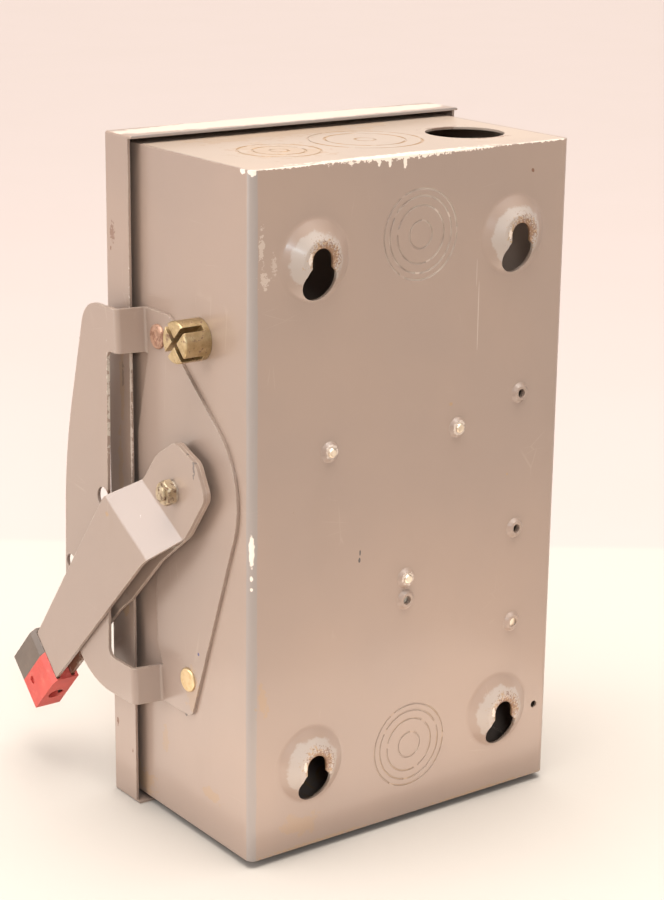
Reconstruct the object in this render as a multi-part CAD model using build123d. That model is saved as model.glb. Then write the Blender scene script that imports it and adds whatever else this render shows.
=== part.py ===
"""Enclosed side-lever safety switch, three poles, non-fusible. Millimetres.

The parts are drawn about the middle of the box's height, with the wall's plane at Y 0, and raised
as they are written, so that the row frame's origin is the centre of the four holes that the wall
screws' heads pass through. +X points to the handle side, +Y into the wall, +Z up; the cover faces -Y.
Rest: cover closed, lever down (OFF).
"""
from build123d import *
from math import cos, hypot, radians, sin
import os

# ---------------------------------------------------------------- box and cover
SHEET = 1.5                 # box and cover steel
BOX_WIDTH = 210.0
BOX_HEIGHT = 375.0
BOX_DEPTH = 129.5           # back's outer face to the box's front edge
BACK_BEND = 4.5             # outer radius of the two vertical back edges
FRONT_RETURN = 9.0          # lip turned inwards along the box's front
WELD_FLANGE = 12.0          # the end walls' turned edges
TRAY_GAP = 0.02             # end wall to wrapper, welded
COVER_CLEARANCE = 0.5       # box front edge to the cover's inside
COVER_SIDE_GAP = 4.5
COVER_END_GAP = 3.0
COVER_SIDE_LIP = 24.0
COVER_END_LIP = 27.0
COVER_EDGE_R = 1.4

# ---------------------------------------------------------------- back and ends
DOME_HEIGHT = 7.0           # raised keyhole mountings stand off the back by this much
DOME_BASE_R = 21.5
DOME_TOP_R = 11.0
DOME_FLAT_RIM = 4.0         # flat ring round each dome that it is let into the back with
DOME_FROM_SIDE = 39.0
DOME_FROM_END = 48.5
KEYHOLE_R = 10.0            # lets a screw's head through
KEYHOLE_SLOT = 12.6         # the neck that the shank slides up in
KEYHOLE_DROP = 11.0         # large round below the dome's centre
KEYHOLE_RISE = 7.0          # slot end above it
KNOCKOUT_SCORE = 0.3        # depth of the scored rings
KNOCKOUT_LINE = 0.9         # their width
BACK_KNOCKOUT_RADII = (24.2, 20.5, 15.5, 7.5)
BACK_KNOCKOUT_FROM_END = 42.5
BACK_KNOCKOUT_X = -2.3
SMALL_KNOCKOUT_RADII = (22.0, 14.0, 5.0)
LARGE_KNOCKOUT_RADII = (31.0, 22.0, 5.5)
SMALL_KNOCKOUT_AT = (55.0, -55.0)       # on the end walls, as (x, y)
LARGE_KNOCKOUT_AT = (-7.0, -63.0)
CONDUIT_AT = (-70.0, -55.0)
CONDUIT_HOLE_R = 22.0
BASE_SCREWS = ((55.0, 35.5), (-31.0, 35.5), (2.5, -45.0))       # on the back, as (x, z)
SPARE_DIMPLES = ((-75.0, 48.5), (-75.0, -30.5), (-75.0, -87.0), (2.5, -57.5))
GROUND_AT = SPARE_DIMPLES[2]
DIMPLE_BASE_R = 6.0
DIMPLE_TOP_R = 4.0
DIMPLE_HEIGHT = 2.0
BASE_SCREW_R = 2.5
DRAIN_HOLE_R = 2.15
DRAIN_HOLE_X = -95.0
DRAIN_HOLE_FROM_END = 44.5

# ---------------------------------------------------------------- side of the box
PIVOT_BEHIND_FRONT = 72.0   # lever pivot behind the box's front edge
PIVOT_Z = 9.5
GUARD_PLATE = 1.9
GUARD_RISE = 17.1           # guard band's inner face off the box side
GUARD_TOP = 101.0
GUARD_BOTTOM = -123.0
GUARD_BEND = 1.5
GUARD_RAMP = 2.6            # how far the rise leans forwards
FOLD_TOP = (-42.5, 100.0)   # fold line's two points, as (y from the pivot, z)
FOLD_BOTTOM = (-28.5, -122.0)
WINDOW_TOP = 76.8
WINDOW_BOTTOM = -100.5
PADLOCK_NOTCH = (-59.7, -8.0)
PADLOCK_NOTCH_R = 6.0
PADLOCK_HOLE = (-97.0, -56.5)
PADLOCK_HOLE_R = 4.8
GUARD_RIVET_UPPER = (-28.0, 87.3)
GUARD_RIVET_LOWER = (0.0, -100.0)
RIVET_R = 3.0
RIVET_HEAD_R = 6.8
RIVET_HEAD = 1.4
RIVET_DISH_R = 14.0         # the upper rivet's hollowed head
RELEASE_FROM_PIVOT = (10.5, 93.5)
RELEASE_R = 11.3
RELEASE_LENGTH = 16.0
RELEASE_GAP = 0.1           # under the release's head
RELEASE_SLOT = 3.4
RELEASE_SLOT_DEPTH = 12.5
RELEASE_SHAFT_R = 4.0
RELEASE_SHAFT = 12.0        # its length inside the box
CLIP_R = 7.0
CLIP = 0.8
CLIP_GROOVE = 0.8           # depth of the groove that the clip snaps into
CAM = 3.0
CAM_REACH = 26.0

# ---------------------------------------------------------------- lever and grip
LEVER_ANGLE = 46.5          # below horizontal at OFF
LEVER_SWING = 82.0
LEVER_LENGTH = 217.0
LEVER_PLATE = 2.3
LEVER_BEND = 3.0
LIP_CLEARANCE = 0.8         # cover's lip to the inner plate
BAND_CLEARANCE = 0.7        # guard's band to the outer plate
INNER_STEP = 3.2            # the inner plate rises by this much towards the grip
INNER_FOLD = 92.0           # where each plate starts to rise, along the lever from the pivot
INNER_FOLD_RUN = 12.0
OUTER_FOLD = 17.0
OUTER_FOLD_RUN = 24.0
FOLD_LEAN = 0.25            # the folds run slightly askew
GRIP_LENGTH = 37.0
GRIP_BELOW = 18.0           # grip's extent below and above the lever's line
GRIP_ABOVE = 17.4
GRIP_THICKNESS = 16.0
GRIP_PROUD = 2.0            # grip's outer face beyond the outer plate
GRIP_CLEARANCE = 0.1
GRIP_SPLIT = 1.4            # joint between its halves, above the lever's line
GRIP_JOINT = 0.05
GRIP_HOLE_R = 4.75
GRIP_HOLE_DEPTH = 4.5
GRIP_PIN_R = 2.5
GRIP_PIN_ACROSS = -4.0
GRIP_PIN_FROM_END = 12.0

# ---------------------------------------------------------------- pivot and mechanism
SHAFT_R = 6.0
STUD_R = 3.97
STUD_LENGTH = 8.2           # beyond the plates
SHAFT_CLEARANCE = 0.05
PRESS_CLEARANCE = 0.02      # pieces fixed to each other
BUSH_WALL = 2.5
BUSH_FLANGE_R = 13.0
WASHER_R = 6.6
WASHER = 1.28
NUT_FLATS = 12.7
NUT_HEIGHT = 5.0
FRAME_DEPTH = 29.2          # mechanism frame, in from the box side
FRAME_GAP = 0.3             # frame to the box side, for its rivets' standoff
FRAME_ABOVE = 34.5          # its extents from the pivot
FRAME_BELOW = 39.5
FRAME_BEHIND = 32.5
FRAME_AHEAD = 35.5
FRAME_PLATE = 1.8
FRAME_RIVET_R = 2.4
FRAME_RIVET_HEAD_R = 4.2
ARM_FROM_SIDE = 19.5
ARM = 3.0
ARM_HUB_R = 10.0
FINGER_RADIUS = 62.0
FINGER_DEPTH = 6.0
FINGER_WIDTH = 7.0
DRIVER_FROM_SIDE = 37.5
DRIVER = 3.0
DRIVE_PIN_RADIUS = 20.0     # from the pivot
DRIVE_PIN_R = 3.0
DRIVE_PLAY = 0.6
SPRING_RADIUS = 11.0
SPRING_WIRE_R = 1.0
SPRING_TURNS = 4

# ---------------------------------------------------------------- switching unit
POLE_X = (-55.0, -13.0, 29.0)
CROSSBAR_SWING = 60.0
CROSSBAR_R = 9.0
CROSSBAR_COLLAR = 4.0       # collar round each blade, beyond the bar
JOURNAL_R = 5.0
BUSH_R = 8.0
BEARING_R = 14.0
BEARING = 4.0
BEARING_RIGHT_X = 45.0
BASE_FROM_LEFT = 29.0
BASE_FROM_RIGHT = 39.5
BASE_THICKNESS = 11.5
JAW_RADIUS = 36.0           # blade tip radius; the jaws sit just inside it
BLADE_WIDTH = 10.0
BLADE_THICKNESS = 3.0
JAW_CLEARANCE = 0.3
JAW_LEAF = 1.4
JAW_SPARE = 1.5             # beyond the blade's tip
JAW_BACK = 2.2              # strap thickness
JAW_GRASP = 12.0            # overlap with the blade
JAW_AHEAD = 7.5             # leaves, ahead of and behind the pivot
JAW_BEHIND = 8.5
PEDESTAL_BEHIND = 16.5
PEDESTAL_HALF = 8.0
BARRIER_BEHIND = 12.5
BARRIER = 3.0
BARRIER_X = (-39.0, 12.0)
TERMINAL_SCREW_OUT = 13.0   # from the blade's tip radius
TERMINAL_SCREW_R = 2.0
LUG_OUT = 19.0
LUG_LENGTH = 18.0
LUG_DEPTH = 17.0
LUG_WIRE_R = 5.2
LUG_SCREW_R = 3.98
BASE_END_OUT = 36.0
SHIELD = 2.0
SHIELD_FROM_PIVOT = 17.5
SHIELD_RIGHT = 48.0
SHIELD_SCREWS_X = (-34.0, 8.0)

# ---------------------------------------------------------------- hinges and catch
HINGE_Z = 112.0
HINGE_LEAF = 1.5
HINGE_LEAF_WIDTH = 26.0
HINGE_PIN_R = 2.0
HINGE_PIN_HEAD = 1.0
HINGE_PIN_CLEARANCE = 0.05
HINGE_LENGTH = 42.0
HINGE_BEHIND_FRONT = 33.0   # hinge axis behind the box's front edge's plane, towards the wall
CATCH_HALF_WIDTH = 9.0
CATCH_PLATE = 1.5
BODY_GAP = 0.3              # between pieces that move past each other

# ---------------------------------------------------------------- worked out
HALF_W = BOX_WIDTH / 2
HALF_H = BOX_HEIGHT / 2
BACK_Y = -DOME_HEIGHT
BACK_IN = BACK_Y - SHEET
FRONT_Y = BACK_Y - BOX_DEPTH
SIDE_IN = HALF_W - SHEET
DOME_X = HALF_W - DOME_FROM_SIDE
DOME_Z = HALF_H - DOME_FROM_END
COVER_IN = FRONT_Y - COVER_CLEARANCE
COVER_OUT = COVER_IN - SHEET
COVER_HALF_W = HALF_W + COVER_SIDE_GAP
COVER_HALF_H = HALF_H + COVER_END_GAP
PIVOT_Y = FRONT_Y + PIVOT_BEHIND_FRONT
PIVOT = (PIVOT_Y, PIVOT_Z)
GUARD_FACE = HALF_W + GUARD_PLATE
INNER_X = HALF_W + COVER_SIDE_GAP + SHEET + LIP_CLEARANCE
OUTER_X = INNER_X + LEVER_PLATE
STACK_X = OUTER_X + LEVER_PLATE
OUTER_STEP = HALF_W + GUARD_RISE + GUARD_PLATE + BAND_CLEARANCE - OUTER_X
GRIP_OUT_X = OUTER_X + OUTER_STEP + LEVER_PLATE + GRIP_PROUD
GRIP_X = GRIP_OUT_X - GRIP_THICKNESS
GRIP_PIN = (GRIP_PIN_ACROSS, LEVER_LENGTH - GRIP_PIN_FROM_END)
BUSH_NECK_R = SHAFT_R + BUSH_WALL
RELEASE_AT = (PIVOT_Y + RELEASE_FROM_PIVOT[0], RELEASE_FROM_PIVOT[1])
GUARD_RIVETS = (
    (PIVOT_Y + GUARD_RIVET_UPPER[0], GUARD_RIVET_UPPER[1]),
    (PIVOT_Y + GUARD_RIVET_LOWER[0], GUARD_RIVET_LOWER[1]),
)
FRAME_OUT_X = SIDE_IN - FRAME_GAP
FRAME_IN_X = FRAME_OUT_X - FRAME_DEPTH
ARM_X = SIDE_IN - ARM_FROM_SIDE
DRIVER_X = SIDE_IN - DRIVER_FROM_SIDE
FRAME_RIVETS = tuple(
    (PIVOT_Y + y, PIVOT_Z + z) for y in (24.5, -29.5) for z in (24.5, -27.5)
)
BASE_LEFT = -HALF_W + BASE_FROM_LEFT
BASE_RIGHT = SIDE_IN - BASE_FROM_RIGHT
BASE_FRONT = BACK_IN - BASE_THICKNESS
BASE_HALF_HEIGHT = JAW_RADIUS + BASE_END_OUT
BEARING_LEFT = (BASE_LEFT, BASE_LEFT + BEARING)
BEARING_RIGHT = (BEARING_RIGHT_X, BEARING_RIGHT_X + BEARING)
JAW_TIP = JAW_RADIUS + JAW_SPARE
PEDESTAL_FRONT = PIVOT_Y + PEDESTAL_BEHIND
STRAP_FRONT = PEDESTAL_FRONT - JAW_BACK
TERMINAL_SCREW_Z = JAW_RADIUS + TERMINAL_SCREW_OUT
LUG_Z = JAW_RADIUS + LUG_OUT
LUG_SCREW_Z = LUG_Z + LUG_LENGTH / 2
BARRIERS = tuple((x - BARRIER / 2, x + BARRIER / 2) for x in BARRIER_X)
HINGE_KNUCKLE_R = (COVER_SIDE_GAP + SHEET + HINGE_LEAF) / 2
HINGE_X = -HALF_W - HINGE_KNUCKLE_R
HINGE_Y = FRONT_Y + HINGE_BEHIND_FRONT
LEVER = Plane(
    origin=(0, PIVOT_Y, PIVOT_Z),
    x_dir=(1, 0, 0),
    z_dir=(0, -cos(radians(LEVER_ANGLE)), -sin(radians(LEVER_ANGLE))),
)


# ---------------------------------------------------------------- helpers
def slab(x0, x1, y0, y1, z0, z1):
    """Box between two corners."""
    low = (min(x0, x1), min(y0, y1), min(z0, z1))
    return Pos(*low) * Box(abs(x1 - x0), abs(y1 - y0), abs(z1 - z0), align=Align.MIN)


def rod(axis, centre, radius, start, end):
    """Cylinder along X, Y or Z from start to end; centre gives the other two coordinates."""
    length = abs(end - start)
    mid = (start + end) / 2
    a, b = centre
    if axis == "x":
        return Pos(mid, a, b) * Rot(0, 90, 0) * Cylinder(radius, length)
    if axis == "y":
        return Pos(a, mid, b) * Rot(90, 0, 0) * Cylinder(radius, length)
    return Pos(a, b, mid) * Cylinder(radius, length)


def hexagon_x(centre, across_flats, start, end):
    """Hexagonal prism along X."""
    face = RegularPolygon(across_flats / 3 ** 0.5, 6)
    return Pos(start, *centre) * Rot(0, 90, 0) * extrude(face, end - start)


def rounded(points):
    """Polygon from (a, b, radius) corners, each rounded by its own radius."""
    face = Polygon(*[(a, b) for a, b, _ in points], align=None)
    for a, b, radius in points:
        if radius > 0:
            corner = min(face.vertices(), key=lambda v: hypot(v.X - a, v.Y - b))
            face = fillet(corner, radius)
    return face


def bent_strip(path, thickness, bend):
    """Section of a folded sheet: the path, and the same path offset to its left."""
    left = []
    for i, point in enumerate(path):
        before = path[max(i - 1, 0)]
        after = path[min(i + 1, len(path) - 1)]
        a = Vector(point[0] - before[0], point[1] - before[1])
        b = Vector(after[0] - point[0], after[1] - point[1])
        a = (a if a.length > 0 else b).normalized()
        b = (b if b.length > 0 else a).normalized()
        middle = (a + b).normalized()
        reach = thickness / (middle.X * a.X + middle.Y * a.Y)
        turn = a.X * b.Y - a.Y * b.X
        outer = bend + thickness if turn > 0 else bend
        inner = bend if turn > 0 else bend + thickness
        if abs(turn) < 1e-6:
            outer = inner = 0
        left.append((point, (point[0] - middle.Y * reach, point[1] + middle.X * reach), outer, inner))
    near = [(p[0], p[1], r) for p, _, r, _ in left]
    far = [(q[0], q[1], r) for _, q, _, r in reversed(left)]
    return rounded(near + far)


def side_prism(points, start, end):
    """Outline given as (y from the pivot, z, radius), thickened along X."""
    face = Pos(0, PIVOT_Y, 0) * (Plane.YZ * rounded(points))
    return Pos(start, 0, 0) * extrude(face, end - start, dir=(1, 0, 0))


def annulus_x(centre, outer, inner, start, end):
    """Ring about an X axis."""
    return rod("x", centre, outer, start, end) - rod("x", centre, inner, start - 1, end + 1)


def slotted(screw, x, z, front, depth):
    """Screw facing -Y, with a driver slot cut across its face."""
    return screw - slab(x - 5, x + 5, front - 1, front + depth, z - 0.55, z + 0.55)


def for_end(body, side):
    """Piece drawn above the pivot, for the line end (side 1) or mirrored for the load end (side -1)."""
    body = body if side > 0 else mirror(body, about=Plane.XY)
    return Pos(0, 0, PIVOT_Z) * body


# ---------------------------------------------------------------- enclosure
def score_ring(radius, depth, ties, turn=0.0):
    """Scored circle about Z at the origin, left whole at its ties."""
    ring = Cylinder(radius + KNOCKOUT_LINE / 2, depth * 2)
    ring -= Cylinder(radius - KNOCKOUT_LINE / 2, depth * 3)
    for i in range(ties):
        bridge = Pos(radius, 0, 0) * Box(8 * KNOCKOUT_LINE, 3.5 * KNOCKOUT_LINE, depth * 4)
        ring -= Rot(0, 0, turn + i * 360 / ties) * bridge
    return ring


def knockout(radii, turn=0.0):
    """Concentric scored circles about Z; the small middle one hangs on one tie."""
    return [score_ring(r, KNOCKOUT_SCORE, 3 if r > 10 else 1, turn + 25 * i) for i, r in enumerate(radii)]


def right_half(face):
    """Keeps the half of a section that lies right of the axis."""
    return face & (Pos(50, 0) * Rectangle(100, 100))


def dome():
    """Raised keyhole mounting about the Z axis, its rim at height 0, hollow on the inside."""
    rim = DOME_BASE_R + DOME_FLAT_RIM
    outside = rounded([
        (-1, -SHEET, 0), (rim, -SHEET, 0), (rim, 0, 0), (DOME_BASE_R, 0, 4.0), (DOME_TOP_R, DOME_HEIGHT, 1.5),
        (-1, DOME_HEIGHT, 0),
    ])
    hollow = rounded([
        (-1, -SHEET - 1, 0), (DOME_BASE_R - 1.0, -SHEET - 1, 0), (DOME_BASE_R - 1.0, -SHEET, 0),
        (DOME_TOP_R - 1.0, DOME_HEIGHT - SHEET, 1.5), (-1, DOME_HEIGHT - SHEET, 0),
    ])
    outer = revolve(Plane.XZ * right_half(outside), Axis.Z)
    return outer - revolve(Plane.XZ * right_half(hollow), Axis.Z)


def keyhole():
    """Keyhole cutter about Z: a large round below, a rounded slot above."""
    cut = Pos(0, -KEYHOLE_DROP, 0) * Cylinder(KEYHOLE_R, 60)
    slot_end = KEYHOLE_RISE - KEYHOLE_SLOT / 2
    cut += Pos(0, slot_end, 0) * Cylinder(KEYHOLE_SLOT / 2, 60)
    length = slot_end + KEYHOLE_DROP
    return cut + Pos(0, slot_end - length / 2, 0) * Box(KEYHOLE_SLOT, length, 60)


def on_back(x, z):
    """Placement on the back's outer face: local Z points at the wall, local Y up."""
    return Plane(origin=(x, BACK_Y, z), x_dir=(-1, 0, 0), z_dir=(0, 1, 0)).location


def folded_shell():
    """Back and two sides from one sheet, with the front edges turned inwards."""
    outer = slab(-HALF_W, HALF_W, FRONT_Y, BACK_Y, -HALF_H, HALF_H)
    outer = fillet(outer.edges().filter_by(Axis.Z).group_by(Axis.Y)[-1], BACK_BEND)
    inner = slab(-SIDE_IN, SIDE_IN, FRONT_Y + SHEET, BACK_IN, -HALF_H - 1, HALF_H + 1)
    inner = fillet(inner.edges().filter_by(Axis.Z).group_by(Axis.Y)[-1], BACK_BEND - SHEET)
    opening = HALF_W - FRONT_RETURN
    return outer - inner - slab(-opening, opening, FRONT_Y - 1, FRONT_Y + SHEET + 1, -HALF_H - 1, HALF_H + 1)


def add_back_features(body):
    """Keyhole domes, screw dimples, drain hole and knockouts."""
    for x in (-DOME_X, DOME_X):
        for z in (-DOME_Z, DOME_Z):
            body -= on_back(x, z) * Cylinder(DOME_BASE_R + DOME_FLAT_RIM, 20)
            body += on_back(x, z) * dome()
            body -= on_back(x, z) * keyhole()
    for x, z in BASE_SCREWS + SPARE_DIMPLES:
        lift = Pos(0, 0, DIMPLE_HEIGHT / 2 - 0.1)
        body += on_back(x, z) * lift * Cone(DIMPLE_BASE_R, DIMPLE_TOP_R, DIMPLE_HEIGHT + 0.2)
        body -= on_back(x, z) * Cylinder(BASE_SCREW_R, 30)
    body -= on_back(DRAIN_HOLE_X, DRAIN_HOLE_FROM_END - HALF_H) * Cylinder(DRAIN_HOLE_R, 30)
    for z in (BACK_KNOCKOUT_FROM_END - HALF_H, HALF_H - BACK_KNOCKOUT_FROM_END):
        for ring in knockout(BACK_KNOCKOUT_RADII):
            body -= on_back(BACK_KNOCKOUT_X, z) * ring
    return body


def enclosure_wrapper():
    body = add_back_features(folded_shell())
    holes = [(at, RIVET_R) for at in GUARD_RIVETS] + [(at, FRAME_RIVET_R) for at in FRAME_RIVETS]
    holes += [(PIVOT, BUSH_NECK_R), (RELEASE_AT, RELEASE_SHAFT_R + SHAFT_CLEARANCE)]
    for at, radius in holes:
        body -= rod("x", at, radius, SIDE_IN - 1, HALF_W + 1)
    return body


def end_wall(side, punched):
    """Tray that closes the top (side 1) or the bottom (side -1) of the wrapper."""
    half = SIDE_IN - TRAY_GAP
    front = FRONT_Y + SHEET + TRAY_GAP
    tray = slab(-half, half, front, BACK_IN - TRAY_GAP, HALF_H - WELD_FLANGE, HALF_H)
    tray = fillet(tray.edges().filter_by(Axis.Z).group_by(Axis.Y)[-1], BACK_BEND - SHEET)
    tray -= slab(-half + SHEET, half - SHEET, front + SHEET, BACK_IN - SHEET, 0, HALF_H - SHEET)
    lip = HALF_W - FRONT_RETURN
    tray -= slab(-lip, lip, front - 1, front + SHEET + 1, 0, HALF_H - FRONT_RETURN)
    scored = [(SMALL_KNOCKOUT_AT, SMALL_KNOCKOUT_RADII), (LARGE_KNOCKOUT_AT, LARGE_KNOCKOUT_RADII)]
    if not punched:
        scored.append((CONDUIT_AT, SMALL_KNOCKOUT_RADII))
    for at, radii in scored:
        for ring in knockout(radii, 40):
            tray -= Pos(*at, HALF_H) * ring
    if punched:
        tray -= rod("z", CONDUIT_AT, CONDUIT_HOLE_R, HALF_H - 5, HALF_H + 5)
    return tray if side > 0 else mirror(tray, about=Plane.XY)


def cover():
    """Flat cover with its four edges turned back over the box."""
    side = COVER_HALF_W + SHEET
    end = COVER_HALF_H + SHEET
    body = slab(-side, side, COVER_OUT, COVER_OUT + COVER_SIDE_LIP, -end, end)
    body += slab(-side, side, COVER_OUT, COVER_OUT + COVER_END_LIP, end - SHEET, end)
    body += slab(-side, side, COVER_OUT, COVER_OUT + COVER_END_LIP, -end, -end + SHEET)
    body = fillet(body.edges().filter_by(Axis.Z).group_by(Axis.Y)[0], COVER_EDGE_R)
    body = fillet(body.edges().filter_by(Axis.X).group_by(Axis.Y)[0], COVER_EDGE_R)
    return body - slab(-COVER_HALF_W, COVER_HALF_W, COVER_IN, 0, -COVER_HALF_H, COVER_HALF_H)


# ---------------------------------------------------------------- guard, rivets, interlock release
def guard_outline(start, end):
    """Whole outline of the guard, as a cutter between two distances along X."""
    return side_prism([
        (-76.0, GUARD_TOP, 17), (-100.7, 8.0, 300), (-105.7, GUARD_BOTTOM, 48), (3.0, GUARD_BOTTOM + 2, 5),
        (56.3, 26.0, 50), (-6.0, 78.0, 5), (-12.0, GUARD_TOP, 12),
    ], start, end)


def guard_window(start, end):
    """Opening through the band and the folds; the flat tongue is put back behind the lever."""
    return side_prism([
        (-52.8, WINDOW_TOP, 4), (-56.7, WINDOW_BOTTOM, 5), (-24.5, WINDOW_BOTTOM, 4), (-38.0, WINDOW_TOP, 3),
    ], start, end)


def guard_tongue():
    """Part of the flat plate that reaches forwards under the lever."""
    return side_prism([
        (-15.5, WINDOW_TOP, 0), (-38.0, WINDOW_TOP, 3), (-50.3, 28.0, 30), (-50.3, 0.0, 20), (-32.5, -42.0, 20),
        (-32.1, -86.0, 3), (-26.5, WINDOW_BOTTOM, 0), (-15.5, WINDOW_BOTTOM, 0),
    ], HALF_W, GUARD_FACE)


def guard_sheet():
    """Folded sheet: flat on the box, a ramp, then the band that passes outside the cover's lip."""
    spare = 20
    lean = (FOLD_TOP[0] - FOLD_BOTTOM[0]) / (FOLD_TOP[1] - FOLD_BOTTOM[1])
    start = GUARD_BOTTOM - spare
    fold = PIVOT_Y + FOLD_BOTTOM[0] + lean * (start - FOLD_BOTTOM[1])
    band = HALF_W + GUARD_RISE
    path = [(HALF_W, PIVOT_Y + 84.5), (HALF_W, fold), (band, fold - GUARD_RAMP), (band, fold - 90)]
    way = Vector(0, lean, 1)
    height = GUARD_TOP - GUARD_BOTTOM + 2 * spare
    sheet = extrude(bent_strip(path, GUARD_PLATE, GUARD_BEND), height * way.length, dir=tuple(way.normalized()))
    return Pos(0, 0, start) * sheet


def handle_guard():
    plate = guard_sheet() & guard_outline(HALF_W - 5, HALF_W + 35)
    plate -= guard_window(HALF_W - 5, HALF_W + 35)
    plate += guard_tongue()
    for (y, z), radius in ((PADLOCK_NOTCH, PADLOCK_NOTCH_R), (PADLOCK_HOLE, PADLOCK_HOLE_R)):
        plate -= rod("x", (PIVOT_Y + y, z), radius, HALF_W + 5, HALF_W + 40)
    for at in GUARD_RIVETS:
        plate -= rod("x", at, RIVET_R, HALF_W - 1, HALF_W + 5)
    return plate - rod("x", PIVOT, BUSH_NECK_R, HALF_W - 1, HALF_W + 5)


def guard_rivet(place, dished):
    """Flat-headed rivet; dished gives the upper one's hollowed head."""
    tail = 1.6
    body = rod("x", place, RIVET_R, SIDE_IN - tail, GUARD_FACE)
    head = rod("x", place, RIVET_HEAD_R, GUARD_FACE, GUARD_FACE + RIVET_HEAD)
    head = fillet(head.edges().group_by(Axis.X)[-1], 0.9)
    body += head + rod("x", place, RIVET_R + tail, SIDE_IN - tail, SIDE_IN)
    if dished:
        body -= Pos(GUARD_FACE + RIVET_DISH_R + 0.9, *place) * Sphere(RIVET_DISH_R)
    return body


def interlock_release():
    """Round head with crossed driver slots, on a shaft that goes through the box side."""
    foot = HALF_W + RELEASE_GAP
    end = foot + RELEASE_LENGTH
    body = rod("x", RELEASE_AT, RELEASE_R, foot, end)
    body = fillet(body.edges().group_by(Axis.X)[-1], 1.0)
    for turn in (45, 135):
        blade = slab(end - RELEASE_SLOT_DEPTH, end + 1, -20, 20, -RELEASE_SLOT / 2, RELEASE_SLOT / 2)
        body -= Pos(0, *RELEASE_AT) * Rot(turn, 0, 0) * blade
    body += rod("x", RELEASE_AT, RELEASE_SHAFT_R, SIDE_IN - RELEASE_SHAFT, foot)
    groove = SIDE_IN - CLIP - 0.7
    bottom = RELEASE_SHAFT_R - CLIP_GROOVE
    return body - annulus_x(RELEASE_AT, RELEASE_SHAFT_R + 1, bottom, groove, groove + CLIP + 0.3)


def release_clip():
    """Split ring in the shaft's groove, just inside the box side."""
    start = SIDE_IN - CLIP - 0.55
    ring = annulus_x(RELEASE_AT, CLIP_R, RELEASE_SHAFT_R - CLIP_GROOVE + SHAFT_CLEARANCE, start, start + CLIP)
    y, z = RELEASE_AT
    return ring - slab(start - 1, start + 2, y - 1.6, y + 1.6, z - 9, z)


def release_cam():
    """Arm on the shaft's inner end, which lifts the cover's catch."""
    y, z = RELEASE_FROM_PIVOT
    end = SIDE_IN - RELEASE_SHAFT + 0.5
    arm = side_prism([(y - 7, z + 7, 5), (y - 4, z - CAM_REACH, 3.5), (y + 4, z - CAM_REACH, 3.5), (y + 7, z + 7, 5)],
                     end, end + CAM)
    return arm - rod("x", RELEASE_AT, RELEASE_SHAFT_R, end - 2, SIDE_IN)


# ---------------------------------------------------------------- lever
def lever_outline():
    """Lever plate seen from the side: first number across the lever, second along it."""
    tip = LEVER_LENGTH - 4.0
    return rounded([
        (10.5, tip, 5), (24.6, 90.0, 90), (29.0, 48.0, 22), (21.0, 20.0, 18), (22.9, -1.0, 20),
        (17.5, -22.0, 8), (-2.0, -30.5, 8), (-20.5, -24.5, 7), (-24.5, 8.0, 25), (-18.8, 43.0, 25), (-15.2, tip, 5),
    ])


def lever_sheet(path):
    """Folded strip whose section path is (x, along); the outline cuts it to shape."""
    reach = 40
    section = Plane.XZ * bent_strip(path, LEVER_PLATE, LEVER_BEND)
    way = Vector(0, 2 * reach, 2 * reach * FOLD_LEAN)
    strip = extrude(section, way.length, dir=tuple(way.normalized()))
    strip = Pos(0, -reach, -reach * FOLD_LEAN) * strip
    cutter = extrude(Plane.YZ * lever_outline(), 80, dir=(1, 0, 0))
    return strip & (Pos(HALF_W - 20, 0, 0) * cutter)


def lever_plate(face, fold, run, step):
    """Plate whose inner face lies at face, and at face + step beyond the fold, towards the grip."""
    path = [(face + step, 300), (face + step, fold + run), (face, fold), (face, -80)]
    plate = lever_sheet(path)
    plate -= Cylinder(STUD_R + 0.03, 400, rotation=(0, 90, 0))
    plate -= Pos(0, *GRIP_PIN) * Cylinder(GRIP_PIN_R, 400, rotation=(0, 90, 0))
    return LEVER.location * plate


def grip_block():
    """Whole grip in lever axes, with the plates' two slots and the bevelled mouth."""
    start = LEVER_LENGTH - GRIP_LENGTH
    end = GRIP_OUT_X
    block = slab(GRIP_X, end, -GRIP_BELOW, GRIP_ABOVE, start, LEVER_LENGTH)
    block = fillet(block.edges().group_by(Axis.Z)[-1], 2.5)
    bevel = Plane.XZ * Polygon((end - 2.0, start - 1), (end + 1, start - 1), (end + 1, start + 7.5),
                               (end - 2.0, start), align=None)
    block -= Pos(0, -60, 0) * extrude(bevel, 120, dir=(0, 1, 0))
    for x in (INNER_X + INNER_STEP, OUTER_X + OUTER_STEP):
        low = x - GRIP_CLEARANCE
        high = x + LEVER_PLATE + GRIP_CLEARANCE
        block -= slab(low, high, -17.0, 14.9, start - 1, LEVER_LENGTH - 3.5)
    return block - Pos(0, *GRIP_PIN) * Cylinder(GRIP_PIN_R, 400, rotation=(0, 90, 0))


def grip_front_half():
    half = slab(GRIP_X - 5, GRIP_X + 40, GRIP_SPLIT, 60, 0, LEVER_LENGTH + 5)
    return LEVER.location * (grip_block() & half)


def grip_rear_half():
    """Half behind the joint, with a blind hole in its end face."""
    half = grip_block() & slab(GRIP_X - 5, GRIP_X + 40, -60, GRIP_SPLIT - GRIP_JOINT, 0, LEVER_LENGTH + 5)
    along = LEVER_LENGTH - GRIP_LENGTH / 2 + 1.5
    place = Pos(GRIP_X + GRIP_THICKNESS / 2, -GRIP_BELOW, along) * Rot(90, 0, 0)
    return LEVER.location * (half - place * Cylinder(GRIP_HOLE_R, 2 * GRIP_HOLE_DEPTH))


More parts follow.
